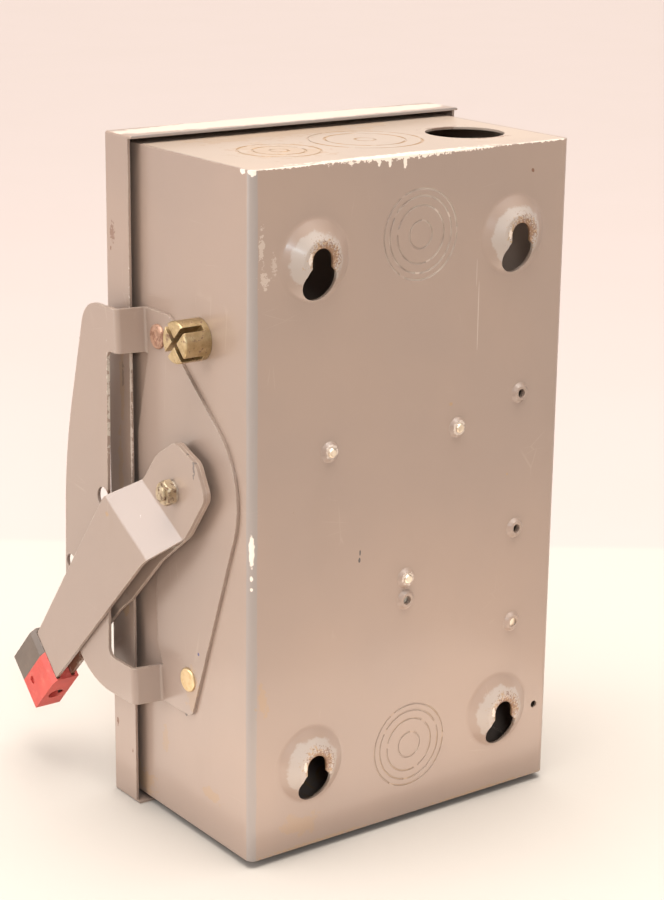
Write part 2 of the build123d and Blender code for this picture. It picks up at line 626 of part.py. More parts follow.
def grip_pin():
    """Rivet through the grip's halves and both plates, short of the faces."""
    start = GRIP_X + 0.2
    end = GRIP_OUT_X - 1.2
    pin = Cylinder(GRIP_PIN_R - 0.03, end - start, rotation=(0, 90, 0))
    return LEVER.location * (Pos((start + end) / 2, *GRIP_PIN) * pin)


# ---------------------------------------------------------------- pivot and mechanism
def about_pivot(angle, body):
    """Turns a body built at angle 0 (pointing to the front) by angle degrees, upwards."""
    return Pos(0, *PIVOT) * Rot(-angle, 0, 0) * body


def pivot_shaft():
    body = rod("x", PIVOT, SHAFT_R, FRAME_IN_X - 1.5, INNER_X)
    stud = rod("x", PIVOT, STUD_R, INNER_X, STACK_X + STUD_LENGTH)
    return body + chamfer(stud.edges().group_by(Axis.X)[-1], 0.6)


def pivot_bush():
    """Flanged bearing in the box side and the guard's flat."""
    body = rod("x", PIVOT, BUSH_NECK_R - PRESS_CLEARANCE, SIDE_IN - 0.2, GUARD_FACE)
    body += rod("x", PIVOT, BUSH_FLANGE_R, GUARD_FACE, INNER_X - BODY_GAP)
    return body - rod("x", PIVOT, SHAFT_R + SHAFT_CLEARANCE, 0, 200)


def pivot_lock_washer():
    start = STACK_X + 0.02
    ring = annulus_x(PIVOT, WASHER_R, STUD_R + 0.1, start, start + WASHER)
    return ring - slab(start - 1, start + 2, PIVOT_Y - 0.6, PIVOT_Y + 0.6, PIVOT_Z, PIVOT_Z + 9)


def pivot_nut():
    """Hexagon nut, its outer corners taken off by a cone."""
    start = STACK_X + WASHER + 0.04
    nut = hexagon_x(PIVOT, NUT_FLATS, start, start + NUT_HEIGHT)
    cone = Pos(start + NUT_HEIGHT / 2, *PIVOT) * Rot(0, 90, 0) * Cone(9.6, 6.0, NUT_HEIGHT)
    return (nut & cone) - rod("x", PIVOT, STUD_R + PRESS_CLEARANCE, start - 1, start + NUT_HEIGHT + 1)


def mechanism_frame():
    """U-shaped frame riveted inside the box side, which carries the shaft's inner end."""
    low, high = PIVOT_Z - FRAME_BELOW, PIVOT_Z + FRAME_ABOVE
    front, back = PIVOT_Y - FRAME_AHEAD, PIVOT_Y + FRAME_BEHIND
    body = slab(FRAME_IN_X, FRAME_OUT_X, front, back, low, high)
    body = fillet(body.edges().filter_by(Axis.Z).group_by(Axis.Y)[-1], 3.0)
    body -= slab(FRAME_IN_X + FRAME_PLATE, FRAME_OUT_X - FRAME_PLATE, front - 1, back - FRAME_PLATE, low - 1, high + 1)
    outer_plate = FRAME_OUT_X - FRAME_PLATE - 1
    body -= rod("x", PIVOT, SHAFT_R + SHAFT_CLEARANCE, FRAME_IN_X - 5, FRAME_IN_X + 5)
    body -= rod("x", PIVOT, BUSH_NECK_R + 1.0, outer_plate, HALF_W)
    for at in FRAME_RIVETS:
        body -= rod("x", at, FRAME_RIVET_R, outer_plate, HALF_W)
    return body - drive_slot(CROSSBAR_SWING, FRAME_IN_X - 2, FRAME_IN_X + 4)


def drive_slot(span, start, end, turn=0.0):
    """Arc slot about the pivot that the drive pin passes through, behind the shaft at turn 0."""
    wide = DRIVE_PIN_R + DRIVE_PLAY
    low = radians(180 - span / 2)
    slot = annulus_x((0, 0), DRIVE_PIN_RADIUS + wide, DRIVE_PIN_RADIUS - wide, start, end)
    reach = 60.0
    wedge = Plane.YZ * Polygon((0, 0), (-reach * cos(low), -reach * sin(low)), (reach * 1.6, 0),
                               (-reach * cos(low), reach * sin(low)), align=None)
    slot &= Pos(start, 0, 0) * extrude(wedge, end - start, dir=(1, 0, 0))
    for sign in (-1, 1):
        y = -DRIVE_PIN_RADIUS * cos(low)
        z = sign * DRIVE_PIN_RADIUS * sin(low)
        slot += rod("x", (y, z), wide, start, end)
    return about_pivot(-turn, slot)


def mechanism_frame_rivets():
    plate_in = FRAME_OUT_X - FRAME_PLATE
    rivets = []
    for at in FRAME_RIVETS:
        shank = rod("x", at, FRAME_RIVET_R, plate_in, HALF_W)
        rivets.append(shank + rod("x", at, FRAME_RIVET_HEAD_R, plate_in - 1.4, plate_in))
    return Compound(children=rivets)


def drive_arm():
    """Hub on the shaft, a forward arm whose tip is the interlock finger, and a slotted rear sector."""
    out = ARM_X + ARM
    hub = rod("x", (0, 0), ARM_HUB_R, ARM_X - 3, out)
    stem = Plane.YZ * Polygon((1 - FINGER_RADIUS, 5), (1 - FINGER_RADIUS, -5), (0, -8), (0, 8), align=None)
    stem = Pos(ARM_X, 0, 0) * extrude(stem, ARM, dir=(1, 0, 0))
    finger = annulus_x((0, 0), FINGER_RADIUS, FINGER_RADIUS - FINGER_DEPTH, ARM_X - FINGER_WIDTH, out)
    finger &= slab(0, 200, -FINGER_RADIUS - 5, 0, -6.5, 6.5)
    sector = rod("x", (0, 0), DRIVE_PIN_RADIUS + 7, ARM_X, out)
    arm = about_pivot(-LEVER_SWING, hub + stem + finger) + about_pivot(0, sector)
    lost_motion = LEVER_SWING - CROSSBAR_SWING
    slot = drive_slot(lost_motion, ARM_X - 1, out + 1, turn=LEVER_SWING / 2)
    return arm - slot - rod("x", PIVOT, SHAFT_R + PRESS_CLEARANCE, 0, 200)


def drive_spring():
    """Torsion spring around the shaft, between the arm and the frame's outer plate."""
    pitch = 2 * SPRING_WIRE_R + 0.25
    coil = Helix(pitch=pitch, height=pitch * SPRING_TURNS, radius=SPRING_RADIUS)
    wire = Plane(origin=coil @ 0, z_dir=coil % 0) * Circle(SPRING_WIRE_R)
    wound = sweep(wire, path=coil, is_frenet=True)
    return Pos(ARM_X + ARM + 2.0, *PIVOT) * Rot(0, 90, 0) * wound


# ---------------------------------------------------------------- switching unit
def crossbar():
    """Insulated bar with a collar round each blade and a journal at each end."""
    body = rod("x", PIVOT, CROSSBAR_R, BEARING_LEFT[1] + BODY_GAP, BEARING_RIGHT[0] - BODY_GAP)
    body += rod("x", PIVOT, JOURNAL_R, BEARING_LEFT[0] - 1, DRIVER_X - 2)
    slot = slab(-BLADE_THICKNESS / 2, BLADE_THICKNESS / 2, -BLADE_WIDTH / 2, BLADE_WIDTH / 2, -40, 40)
    for x in POLE_X:
        body += rod("x", PIVOT, CROSSBAR_R + CROSSBAR_COLLAR, x - 7, x + 7)
    for x in POLE_X:
        body -= about_pivot(-CROSSBAR_SWING, Pos(x, 0, 0) * slot)
    return body


def blade(x):
    """Double-break blade, upright when closed; drawn at rest, turned back by the swing."""
    bar = slab(x - BLADE_THICKNESS / 2, x + BLADE_THICKNESS / 2, -BLADE_WIDTH / 2, BLADE_WIDTH / 2,
               -JAW_RADIUS, JAW_RADIUS)
    bar = fillet(bar.edges().filter_by(Axis.X), 3.0)
    return about_pivot(-CROSSBAR_SWING, bar)


def crossbar_driver():
    """Arm on the crossbar's end that carries the drive pin, pointing at the wall at mid-travel."""
    end = DRIVER_X + DRIVER
    hub = rod("x", (0, 0), 9.0, DRIVER_X - 2, end)
    arm = slab(DRIVER_X, end, 0, DRIVE_PIN_RADIUS, -6, 6)
    arm += rod("x", (DRIVE_PIN_RADIUS, 0), 6.0, DRIVER_X, end)
    pin = rod("x", (DRIVE_PIN_RADIUS, 0), DRIVE_PIN_R, DRIVER_X, ARM_X + ARM + 1)
    return about_pivot(-CROSSBAR_SWING / 2, hub + arm + pin)


def crossbar_bush(span):
    return annulus_x(PIVOT, BUSH_R, JOURNAL_R + SHAFT_CLEARANCE, span[0], span[1])


def switch_base():
    """Insulating base: pedestals for the terminals, barriers between poles, two bearing stands."""
    low, high = PIVOT_Z - BASE_HALF_HEIGHT, PIVOT_Z + BASE_HALF_HEIGHT
    body = slab(BASE_LEFT, BASE_RIGHT, BASE_FRONT, BACK_IN, low, high)
    for x in POLE_X:
        for side in (-1, 1):
            body += slab(x - PEDESTAL_HALF, x + PEDESTAL_HALF, PEDESTAL_FRONT, BASE_FRONT,
                         PIVOT_Z + side * JAW_TIP, PIVOT_Z + side * BASE_HALF_HEIGHT)
    for x0, x1 in BARRIERS:
        body += slab(x0, x1, PIVOT_Y + BARRIER_BEHIND, BASE_FRONT, low, high)
    for x0, x1 in (BEARING_LEFT, BEARING_RIGHT):
        body += slab(x0, x1, PIVOT_Y, BASE_FRONT, PIVOT_Z - BEARING_R, PIVOT_Z + BEARING_R)
        body += rod("x", PIVOT, BEARING_R, x0, x1)
        body -= rod("x", PIVOT, BUSH_R, x0 - 1, x1 + 1)
    for x, z in BASE_SCREWS:
        body -= rod("y", (x, z), BASE_SCREW_R + 0.3, BASE_FRONT - 5, 0)
    for x in POLE_X:
        for side in (-1, 1):
            body -= rod("y", (x, PIVOT_Z + side * TERMINAL_SCREW_Z), TERMINAL_SCREW_R, PEDESTAL_FRONT - 1,
                        PEDESTAL_FRONT + 9)
    return body


def jaw(x, side):
    """U-shaped contact that grips the blade's end, with its strap on the pedestal."""
    inner = BLADE_THICKNESS / 2 + JAW_CLEARANCE
    outer = inner + JAW_LEAF
    front, back = PIVOT_Y - JAW_AHEAD, PIVOT_Y + JAW_BEHIND
    body = slab(x - outer, x + outer, front, back, JAW_TIP - JAW_GRASP, JAW_TIP + JAW_BACK)
    body -= slab(x - inner, x + inner, front - 1, back + 1, JAW_TIP - JAW_GRASP - 1, JAW_TIP)
    body += slab(x - 6, x + 6, front, PEDESTAL_FRONT, JAW_TIP, JAW_TIP + JAW_BACK)
    body += slab(x - 6, x + 6, STRAP_FRONT, PEDESTAL_FRONT, JAW_TIP, BASE_HALF_HEIGHT)
    body -= rod("y", (x, TERMINAL_SCREW_Z), TERMINAL_SCREW_R + 0.2, PEDESTAL_FRONT - 9, 0)
    return for_end(body, side)


def lug(x, side):
    """Wire connector block on the end of the strap: a hole for the wire and a set screw from the front."""
    body = slab(x - 8, x + 8, STRAP_FRONT - LUG_DEPTH, STRAP_FRONT, LUG_Z, LUG_Z + LUG_LENGTH)
    body = chamfer(body.edges().filter_by(Axis.Z), 1.2)
    body -= rod("z", (x, STRAP_FRONT - 7), LUG_WIRE_R, LUG_Z - 5, LUG_Z + LUG_LENGTH + 5)
    body -= rod("y", (x, LUG_SCREW_Z), LUG_SCREW_R + PRESS_CLEARANCE, STRAP_FRONT - 30, STRAP_FRONT - 8)
    return for_end(body, side)


def lug_screws(side):
    face = STRAP_FRONT - LUG_DEPTH - 2
    screws = []
    for x in POLE_X:
        screw = rod("y", (x, LUG_SCREW_Z), LUG_SCREW_R, face, face + 7.5)
        screws.append(for_end(slotted(screw, x, LUG_SCREW_Z, face, 2.0), side))
    return Compound(children=screws)


def terminal_screws():
    face = STRAP_FRONT - 2.4
    screws = []
    for x in POLE_X:
        for side in (-1, 1):
            z = PIVOT_Z + side * TERMINAL_SCREW_Z
            screw = rod("y", (x, z), TERMINAL_SCREW_R, STRAP_FRONT, PEDESTAL_FRONT + 8)
            screw += rod("y", (x, z), 3.9, face, STRAP_FRONT)
            screws.append(slotted(screw, x, z, face, 1.0))
    return Compound(children=screws)


def base_screws():
    screws = []
    for x, z in BASE_SCREWS:
        screw = rod("y", (x, z), BASE_SCREW_R - PRESS_CLEARANCE, BASE_FRONT, BACK_Y + 3.2)
        screw = chamfer(screw.edges().group_by(Axis.Y)[-1], 0.5)
        head = rod("y", (x, z), 4.5, BASE_FRONT - 3.2, BASE_FRONT)
        screws.append(screw + fillet(head.edges().group_by(Axis.Y)[0], 1.2))
    return Compound(children=screws)


def line_shield():
    """Insulating sheet in front of the line terminals, with a driver hole for each lug."""
    top = PIVOT_Z + BASE_HALF_HEIGHT
    front = PIVOT_Y - SHIELD_FROM_PIVOT
    sheet = slab(BASE_LEFT, SHIELD_RIGHT, front - SHIELD, front, top - 24, top + 8)
    sheet += slab(BASE_LEFT, SHIELD_RIGHT, front - SHIELD, BASE_FRONT - SHIELD, top + 8 - SHIELD, top + 8)
    sheet += slab(BASE_LEFT, SHIELD_RIGHT, BASE_FRONT - SHIELD, BASE_FRONT, top - 4, top + 8)
    for x in POLE_X:
        sheet -= rod("y", (x, PIVOT_Z + LUG_SCREW_Z), 5.5, front - 8, front + 2)
        sheet -= slab(x - 7, x + 7, STRAP_FRONT - LUG_DEPTH - 5.8, STRAP_FRONT - 0.8, top + 5, top + 9)
        sheet -= slab(x - 9, x + 9, front + 2, BASE_FRONT + 1, top - 5, top + 5)
    for x0, x1 in BARRIERS:
        sheet -= slab(x0 - 0.5, x1 + 0.5, front + 2, BASE_FRONT + 1, top - 5, top + 0.5)
    for x in SHIELD_SCREWS_X:
        sheet -= rod("y", (x, top - 2), 1.7, BASE_FRONT - 5, BASE_FRONT + 2)
    return sheet


def shield_screws():
    z = PIVOT_Z + BASE_HALF_HEIGHT - 2
    screws = []
    for x in SHIELD_SCREWS_X:
        head = rod("y", (x, z), 2.0, BASE_FRONT - SHIELD - 2.0, BASE_FRONT - SHIELD)
        screws.append(head + rod("y", (x, z), 1.7, BASE_FRONT - SHIELD, BASE_FRONT))
    return Compound(children=screws)


def ground_lug():
    """Earthing connector screwed to the lowest spare dimple's thread."""
    x, z = GROUND_AT
    body = slab(x - 9, x + 9, BACK_IN - 2.5, BACK_IN, z - 30, z + 9)
    body += slab(x - 8, x + 8, BACK_IN - 17, BACK_IN - 2.5, z - 28, z - 12)
    body -= rod("z", (x, BACK_IN - 9), 4.6, z - 40, z)
    body -= rod("y", (x, z - 20), 3.5, BACK_IN - 30, BACK_IN - 9)
    return body - rod("y", (x, z), BASE_SCREW_R + 0.2, BACK_IN - 9, 5)


def ground_lug_screws():
    x, z = GROUND_AT
    fixing = rod("y", (x, z), BASE_SCREW_R - PRESS_CLEARANCE, BACK_IN - 2.5, BACK_Y + 1.0)
    fixing += rod("y", (x, z), 4.6, BACK_IN - 5.5, BACK_IN - 2.5)
    clamp = rod("y", (x, z - 20), 3.48, BACK_IN - 19, BACK_IN - 12)
    return Compound(children=[fixing, slotted(clamp, x, z - 20, BACK_IN - 19, 1.5)])


# ---------------------------------------------------------------- cover furniture
def cover_catch():
    """Hook on the cover's inside that the interlock finger holds when the lever is on."""
    web = FRAME_IN_X - 1.0
    lip = PIVOT_Y - FINGER_RADIUS + FINGER_DEPTH + 2.6
    low, high = PIVOT_Z - CATCH_HALF_WIDTH, PIVOT_Z + CATCH_HALF_WIDTH
    body = slab(web - 16, web + CATCH_PLATE, COVER_IN, COVER_IN + CATCH_PLATE, low, high)
    body += slab(web, web + CATCH_PLATE, COVER_IN, lip, low, high)
    return body + slab(web, ARM_X - 1.0, lip - CATCH_PLATE, lip, low, high)


def hinge_knuckles(parts, z_mid):
    """Knuckles numbered 0 to 2 from the bottom, as given by parts."""
    step = HINGE_LENGTH / 3
    body = None
    for n in parts:
        low = z_mid - HINGE_LENGTH / 2 + n * step + BODY_GAP / 2
        piece = rod("z", (HINGE_X, HINGE_Y), HINGE_KNUCKLE_R, low, low + step - BODY_GAP)
        body = piece if body is None else body + piece
    return body


def hinge_leaf(parts, z_mid, on_cover):
    """Leaf tangent to its knuckles: the box's against the box side, the cover's on the lip's outside."""
    step = HINGE_LENGTH / 3
    low = z_mid - HINGE_LENGTH / 2
    room = HINGE_KNUCKLE_R + BODY_GAP
    if on_cover:
        lip = -COVER_HALF_W - SHEET
        body = slab(lip - HINGE_LEAF, lip, COVER_OUT + 4, HINGE_Y, low, low + HINGE_LENGTH)
    else:
        body = slab(-HALF_W - HINGE_LEAF, -HALF_W, HINGE_Y, HINGE_Y + HINGE_LEAF_WIDTH, low, low + HINGE_LENGTH)
    for n in {0, 1, 2} - set(parts):
        bottom = low + n * step - BODY_GAP / 2
        body -= slab(HINGE_X - 9, HINGE_X + 9, HINGE_Y - room, HINGE_Y + room, bottom, bottom + step + BODY_GAP)
    body += hinge_knuckles(parts, z_mid)
    bore = HINGE_PIN_R + (HINGE_PIN_CLEARANCE if on_cover else PRESS_CLEARANCE)
    return body - rod("z", (HINGE_X, HINGE_Y), bore, low - 20, low + HINGE_LENGTH + 20)


def hinge_pin(z_mid):
    """Pin with a flat head above the top knuckle."""
    top = z_mid + HINGE_LENGTH / 2
    body = rod("z", (HINGE_X, HINGE_Y), HINGE_PIN_R, z_mid - HINGE_LENGTH / 2, top + 0.5)
    return body + rod("z", (HINGE_X, HINGE_Y), HINGE_PIN_R + HINGE_PIN_HEAD, top + 0.2, top + 1.8)


# ---------------------------------------------------------------- build
def enclosure_parts():
    return {
        "enclosure_wrapper": enclosure_wrapper(),
        "top_end_wall": end_wall(1, True),
        "bottom_end_wall": end_wall(-1, False),
        "cover": cover(),
        "cover_catch": cover_catch(),
        "handle_guard": handle_guard(),
        "guard_rivet_upper": guard_rivet(GUARD_RIVETS[0], True),
        "guard_rivet_lower": guard_rivet(GUARD_RIVETS[1], False),
        "interlock_release": interlock_release(),
        "release_clip": release_clip(),
        "release_cam": release_cam(),
    }


def lever_parts():
    return {
        "lever_inner_plate": lever_plate(INNER_X, INNER_FOLD, INNER_FOLD_RUN, INNER_STEP),
        "lever_outer_plate": lever_plate(OUTER_X, OUTER_FOLD, OUTER_FOLD_RUN, OUTER_STEP),
        "grip_front_half": grip_front_half(),
        "grip_rear_half": grip_rear_half(),
        "grip_pin": grip_pin(),
        "pivot_shaft": pivot_shaft(),
        "pivot_bush": pivot_bush(),
        "pivot_lock_washer": pivot_lock_washer(),
        "pivot_nut": pivot_nut(),
        "mechanism_frame": mechanism_frame(),
        "mechanism_frame_rivets": mechanism_frame_rivets(),
        "drive_arm": drive_arm(),
        "drive_spring": drive_spring(),
    }


def switch_parts():
    parts = {
        "crossbar": crossbar(),
        "crossbar_driver": crossbar_driver(),
        "crossbar_bush_left": crossbar_bush(BEARING_LEFT),
        "crossbar_bush_right": crossbar_bush(BEARING_RIGHT),
        "switch_base": switch_base(),
        "line_lug_screws": lug_screws(1),
        "load_lug_screws": lug_screws(-1),
        "terminal_screws": terminal_screws(),
        "base_screws": base_screws(),
        "line_shield": line_shield(),
        "shield_screws": shield_screws(),
        "ground_lug": ground_lug(),
        "ground_lug_screws": ground_lug_screws(),
    }
    for n, x in enumerate(POLE_X, 1):
        parts[f"blade_{n}"] = blade(x)
        parts[f"line_jaw_{n}"] = jaw(x, 1)
        parts[f"load_jaw_{n}"] = jaw(x, -1)
        parts[f"line_lug_{n}"] = lug(x, 1)
        parts[f"load_lug_{n}"] = lug(x, -1)
    return parts


def hinge_parts():
    parts = {}
    for name, z in (("upper", HINGE_Z), ("lower", -HINGE_Z)):
        parts[f"box_hinge_leaf_{name}"] = hinge_leaf((0, 2), z, False)
        parts[f"cover_hinge_leaf_{name}"] = hinge_leaf((1,), z, True)
        parts[f"hinge_pin_{name}"] = hinge_pin(z)
    return parts


def in_row_frame(part):
    """Raises a part, so that the origin is level with the middle of the keyholes' large rounds."""
    solids = [Pos(0, 0, KEYHOLE_DROP) * solid for solid in part.solids()]
    return solids[0] if len(solids) == 1 else Compound(children=solids)


def main():
    os.makedirs("parts", exist_ok=True)
    parts = {**enclosure_parts(), **lever_parts(), **switch_parts(), **hinge_parts()}
    for name, part in parts.items():
        export_step(in_row_frame(part), f"parts/{name}.step")


main()
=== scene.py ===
"""Finishes, small fittings and studio for an enclosed side-lever safety switch.

+X is the handle side, +Y the wall side, +Z up. Each sub-assembly is a class that dresses the solid
pieces it owns and makes the fine pieces that they lack. The sub-assemblies' sizes are millimetres,
turned into metres by MM. The finishes' and the studio's sizes are metres.
"""
import logging
import math
from dataclasses import dataclass
from enum import Enum

import bpy
from mathutils import Euler, Matrix, Vector


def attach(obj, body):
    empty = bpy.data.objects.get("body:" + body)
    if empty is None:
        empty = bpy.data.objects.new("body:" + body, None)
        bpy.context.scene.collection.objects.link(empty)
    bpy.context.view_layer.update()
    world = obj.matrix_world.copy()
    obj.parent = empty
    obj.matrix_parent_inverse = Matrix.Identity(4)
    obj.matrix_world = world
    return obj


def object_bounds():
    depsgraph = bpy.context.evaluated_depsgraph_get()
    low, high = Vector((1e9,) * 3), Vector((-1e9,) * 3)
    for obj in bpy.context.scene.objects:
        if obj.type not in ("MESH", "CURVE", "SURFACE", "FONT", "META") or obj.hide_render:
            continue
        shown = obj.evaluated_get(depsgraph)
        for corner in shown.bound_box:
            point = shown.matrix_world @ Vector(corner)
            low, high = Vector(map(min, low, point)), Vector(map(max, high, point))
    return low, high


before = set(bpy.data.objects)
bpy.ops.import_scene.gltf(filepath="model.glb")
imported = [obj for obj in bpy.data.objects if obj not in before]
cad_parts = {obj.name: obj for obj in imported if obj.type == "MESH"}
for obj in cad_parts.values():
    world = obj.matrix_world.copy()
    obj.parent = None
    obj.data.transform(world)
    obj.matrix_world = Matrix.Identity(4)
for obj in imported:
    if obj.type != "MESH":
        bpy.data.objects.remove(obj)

LOG = logging.getLogger("safety_switch")
SOLID_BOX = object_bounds()
MM = 0.001
Colour = tuple[float, float, float]
Point = tuple[float, float, float]
REFRACTION = 1.5
COAT_ROUGHNESS = 0.16


class Cell(Enum):
    """What a scatter of cells is measured from."""

    CENTRE = "F1"
    EDGE = "DISTANCE_TO_EDGE"


class Axis(Enum):
    """Way that a thread runs."""

    HANDLE_SIDE = "x"
    WALL_SIDE = "y"


# ------------------------------------------------------------------ node wiring
class Graph:
    """Wires the nodes of one material."""

    def __init__(self, name: str) -> None:
        """Starts an empty node tree with its output.

        Args:
            name: name of the material.
        """
        self.material = bpy.data.materials.new(name)
        self.material.use_nodes = True
        self.tree = self.material.node_tree
        self.tree.nodes.clear()
        self.output = self.tree.nodes.new("ShaderNodeOutputMaterial")
        self.place = self.node("ShaderNodeTexCoord").outputs["Object"]

    def node(self, kind: str, **settings: object) -> bpy.types.Node:
        """Adds a node and sets its properties.

        Args:
            kind: node type.
            settings: properties and their values.

        Returns:
            The new node.
        """
        made = self.tree.nodes.new(kind)
        for key, value in settings.items():
            setattr(made, key, value)
        return made

    def feed(self, socket: bpy.types.NodeSocket, value: object) -> None:
        """Links an output to a socket, or sets the socket's own value.

        Args:
            socket: input that receives the value.
            value: an output socket, a number or a tuple.
        """
        if isinstance(value, bpy.types.NodeSocket):
            self.tree.links.new(value, socket)
        else:
            socket.default_value = value

    def maths(self, operation: str, a: object, b: object = 0.0) -> bpy.types.NodeSocket:
        """Works out one number from two.

        Args:
            operation: name of the sum.
            a: first value.
            b: second value.

        Returns:
            The result's socket.
        """
        made = self.node("ShaderNodeMath", operation=operation)
        self.feed(made.inputs[0], a)
        self.feed(made.inputs[1], b)
        return made.outputs[0]

    def vector(self, operation: str, a: object, b: object) -> bpy.types.Node:
        """Works on two vectors.

        Args:
            operation: name of the vector sum.
            a: first vector.
            b: second vector.

        Returns:
            The vector node, whose outputs are Vector and Value.
        """
        made = self.node("ShaderNodeVectorMath", operation=operation)
        self.feed(made.inputs[0], a)
        self.feed(made.inputs[1], b)
        return made

    def stretched(self, stretch: Point) -> bpy.types.NodeSocket:
        """Object position with each axis multiplied by its own factor."""
        return self.vector("MULTIPLY", self.place, stretch).outputs["Vector"]

    def noise(self, scale: float, detail: float = 3.0, rough: float = 0.5,
              stretch: Point = (1, 1, 1)) -> bpy.types.NodeSocket:
        """Cloudy noise in the object's own space.

        Args:
            scale: features in one metre.
            detail: octaves of finer detail.
            rough: strength of the finer detail.
            stretch: factor along each axis.

        Returns:
            The noise, from 0 to 1.
        """
        made = self.node("ShaderNodeTexNoise")
        self.feed(made.inputs["Vector"], self.stretched(stretch))
        made.inputs["Scale"].default_value = scale
        made.inputs["Detail"].default_value = detail
        made.inputs["Roughness"].default_value = rough
        return made.outputs["Fac"]

    def cells(self, scale: float, cell: Cell = Cell.CENTRE,
              stretch: Point = (1, 1, 1)) -> bpy.types.NodeSocket:
        """Distance to scattered cell points, or to the cells' edges.

        Args:
            scale: cells in one metre.
            cell: what the distance is measured from.
            stretch: factor along each axis.

        Returns:
            The distance.
        """
        made = self.node("ShaderNodeTexVoronoi", feature=cell.value)
        self.feed(made.inputs["Vector"], self.stretched(stretch))
        made.inputs["Scale"].default_value = scale
        return made.outputs["Distance"]

    def between(self, value: object, low: float, high: float) -> bpy.types.NodeSocket:
        """Smooth step: 0 at low and 1 at high, which may be the smaller.

        Args:
            value: number to test.
            low: where the step starts.
            high: where it ends.

        Returns:
            The step.
        """
        made = self.node("ShaderNodeMapRange", interpolation_type="SMOOTHSTEP")
        self.feed(made.inputs["Value"], value)
        made.inputs["From Min"].default_value = low
        made.inputs["From Max"].default_value = high
        return made.outputs["Result"]

    def mix(self, amount: object, a: object, b: object) -> bpy.types.NodeSocket:
        """Mixes two colours.

        Args:
            amount: share of the second.
            a: first colour.
            b: second colour.

        Returns:
            The mixed colour.
        """
        made = self.node("ShaderNodeMix", data_type="RGBA")
        self.feed(made.inputs[0], amount)
        self.feed(made.inputs[6], (*a, 1.0) if isinstance(a, tuple) else a)
        self.feed(made.inputs[7], (*b, 1.0) if isinstance(b, tuple) else b)
        return made.outputs[2]

    def rounding(self, radius: float) -> bpy.types.NodeSocket:
        """Normal as if every edge were rounded.

        Args:
            radius: radius of the rounding.

        Returns:
            The rounded normal.
        """
        made = self.node("ShaderNodeBevel", samples=6)
        made.inputs["Radius"].default_value = radius
        return made.outputs["Normal"]

    def edges(self, radius: float) -> bpy.types.NodeSocket:
        """Mask of the edges, 1 where two faces meet.

        Args:
            radius: how far the mask reaches.

        Returns:
            The mask.
        """
        plain = self.node("ShaderNodeNewGeometry").outputs["Normal"]
        turned = self.vector("DOT_PRODUCT", self.rounding(radius), plain).outputs["Value"]
        return self.between(turned, 0.985, 0.80)

    def bump(self, height: object, depth: float, strength: float = 1.0,
             normal: object = None) -> bpy.types.NodeSocket:
        """Bumps the surface.

        Args:
            height: bump height, from 0 to 1.
            depth: real height of a full bump.
            strength: share of the effect.
            normal: normal to start from.

        Returns:
            The bumped normal.
        """
        made = self.node("ShaderNodeBump")
        made.inputs["Strength"].default_value = strength
        made.inputs["Distance"].default_value = depth
        self.feed(made.inputs["Height"], height)
        if normal is not None:
            self.feed(made.inputs["Normal"], normal)
        return made.outputs["Normal"]

    def surface(self, colour: object, rough: object, normal: object, metal: object = 0.0,
                coat: float = 0.0) -> bpy.types.Material:
        """Ends the tree in one shader.

        Args:
            colour: base colour.
            rough: roughness.
            normal: shading normal.
            metal: metallic share.
            coat: clear coat weight.

        Returns:
            The finished material.
        """
        made = self.node("ShaderNodeBsdfPrincipled")
        self.feed(made.inputs["Base Color"], (*colour, 1.0) if isinstance(colour, tuple) else colour)
        self.feed(made.inputs["Roughness"], rough)
        self.feed(made.inputs["Normal"], normal)
        self.feed(made.inputs["Metallic"], metal)
        made.inputs["IOR"].default_value = REFRACTION
        made.inputs["Coat Weight"].default_value = coat
        made.inputs["Coat Roughness"].default_value = COAT_ROUGHNESS
        self.tree.links.new(made.outputs["BSDF"], self.output.inputs["Surface"])
        return self.material


class SkyGraph(Graph):
    """Wires the nodes of the room's light."""

    def __init__(self, name: str) -> None:
        """Starts an empty node tree with its output.

        Args:
            name: name of the room.
        """
        self.world = bpy.data.worlds.new(name)
        self.world.use_nodes = True
        self.tree = self.world.node_tree
        self.tree.nodes.clear()
        self.output = self.tree.nodes.new("ShaderNodeOutputWorld")
        self.place = self.node("ShaderNodeTexCoord").outputs["Generated"]


# ------------------------------------------------------------------ marks of use and painted light and shade
class Wear(Enum):
    """Kinds of local mark on a painted piece, with the colour each leaves; one is a painted highlight and
    one a painted shade.
    """

    CHIP = (0.80, 0.68, 0.58)
    RUST = (0.15, 0.055, 0.022)
    STAIN = (0.36, 0.22, 0.11)
    DARK = (0.03, 0.027, 0.03)
    BARE = (0.56, 0.49, 0.41)
    INK = (0.02, 0.025, 0.14)
    # painted highlight: lighter, cooler paint for the keyhole domes' flanks
    PAINTED_HIGHLIGHT = (0.46, 0.425, 0.39)
    # painted shade: a cool dark grey for a bend and an edge that fall in shade
    PAINTED_COOL_SHADE = (0.255, 0.240, 0.232)


@dataclass(frozen=True)
class Mark:
    """One local mark with a ragged outline: an ellipsoid of wear, stain, painted light or painted shade.
    """

    kind: Wear
    at: Point
    reach: Point
    ragged: float = 0.6
    grain: float = 260.0
    strength: float = 1.0

    def mask(self, graph: Graph) -> bpy.types.NodeSocket:
        """Builds the mark's mask.

        Args:
            graph: node tree of the material.

        Returns:
            The mask, 1 inside the mark.
        """
        centre = tuple(v * MM for v in self.at)
        shrink = tuple(1000.0 / v for v in self.reach)
        away = graph.vector("SUBTRACT", graph.place, centre).outputs["Vector"]
        away = graph.vector("MULTIPLY", away, shrink).outputs["Vector"]
        length = graph.vector("LENGTH", away, (0, 0, 0)).outputs["Value"]
        cloud = graph.maths("MULTIPLY", graph.maths("SUBTRACT", graph.noise(self.grain, 4, 0.65), 0.5),
                            4.0 * self.ragged)
        inside = graph.between(graph.maths("ADD", length, cloud), 1.0, 0.82)
        return graph.maths("MULTIPLY", inside, self.strength)


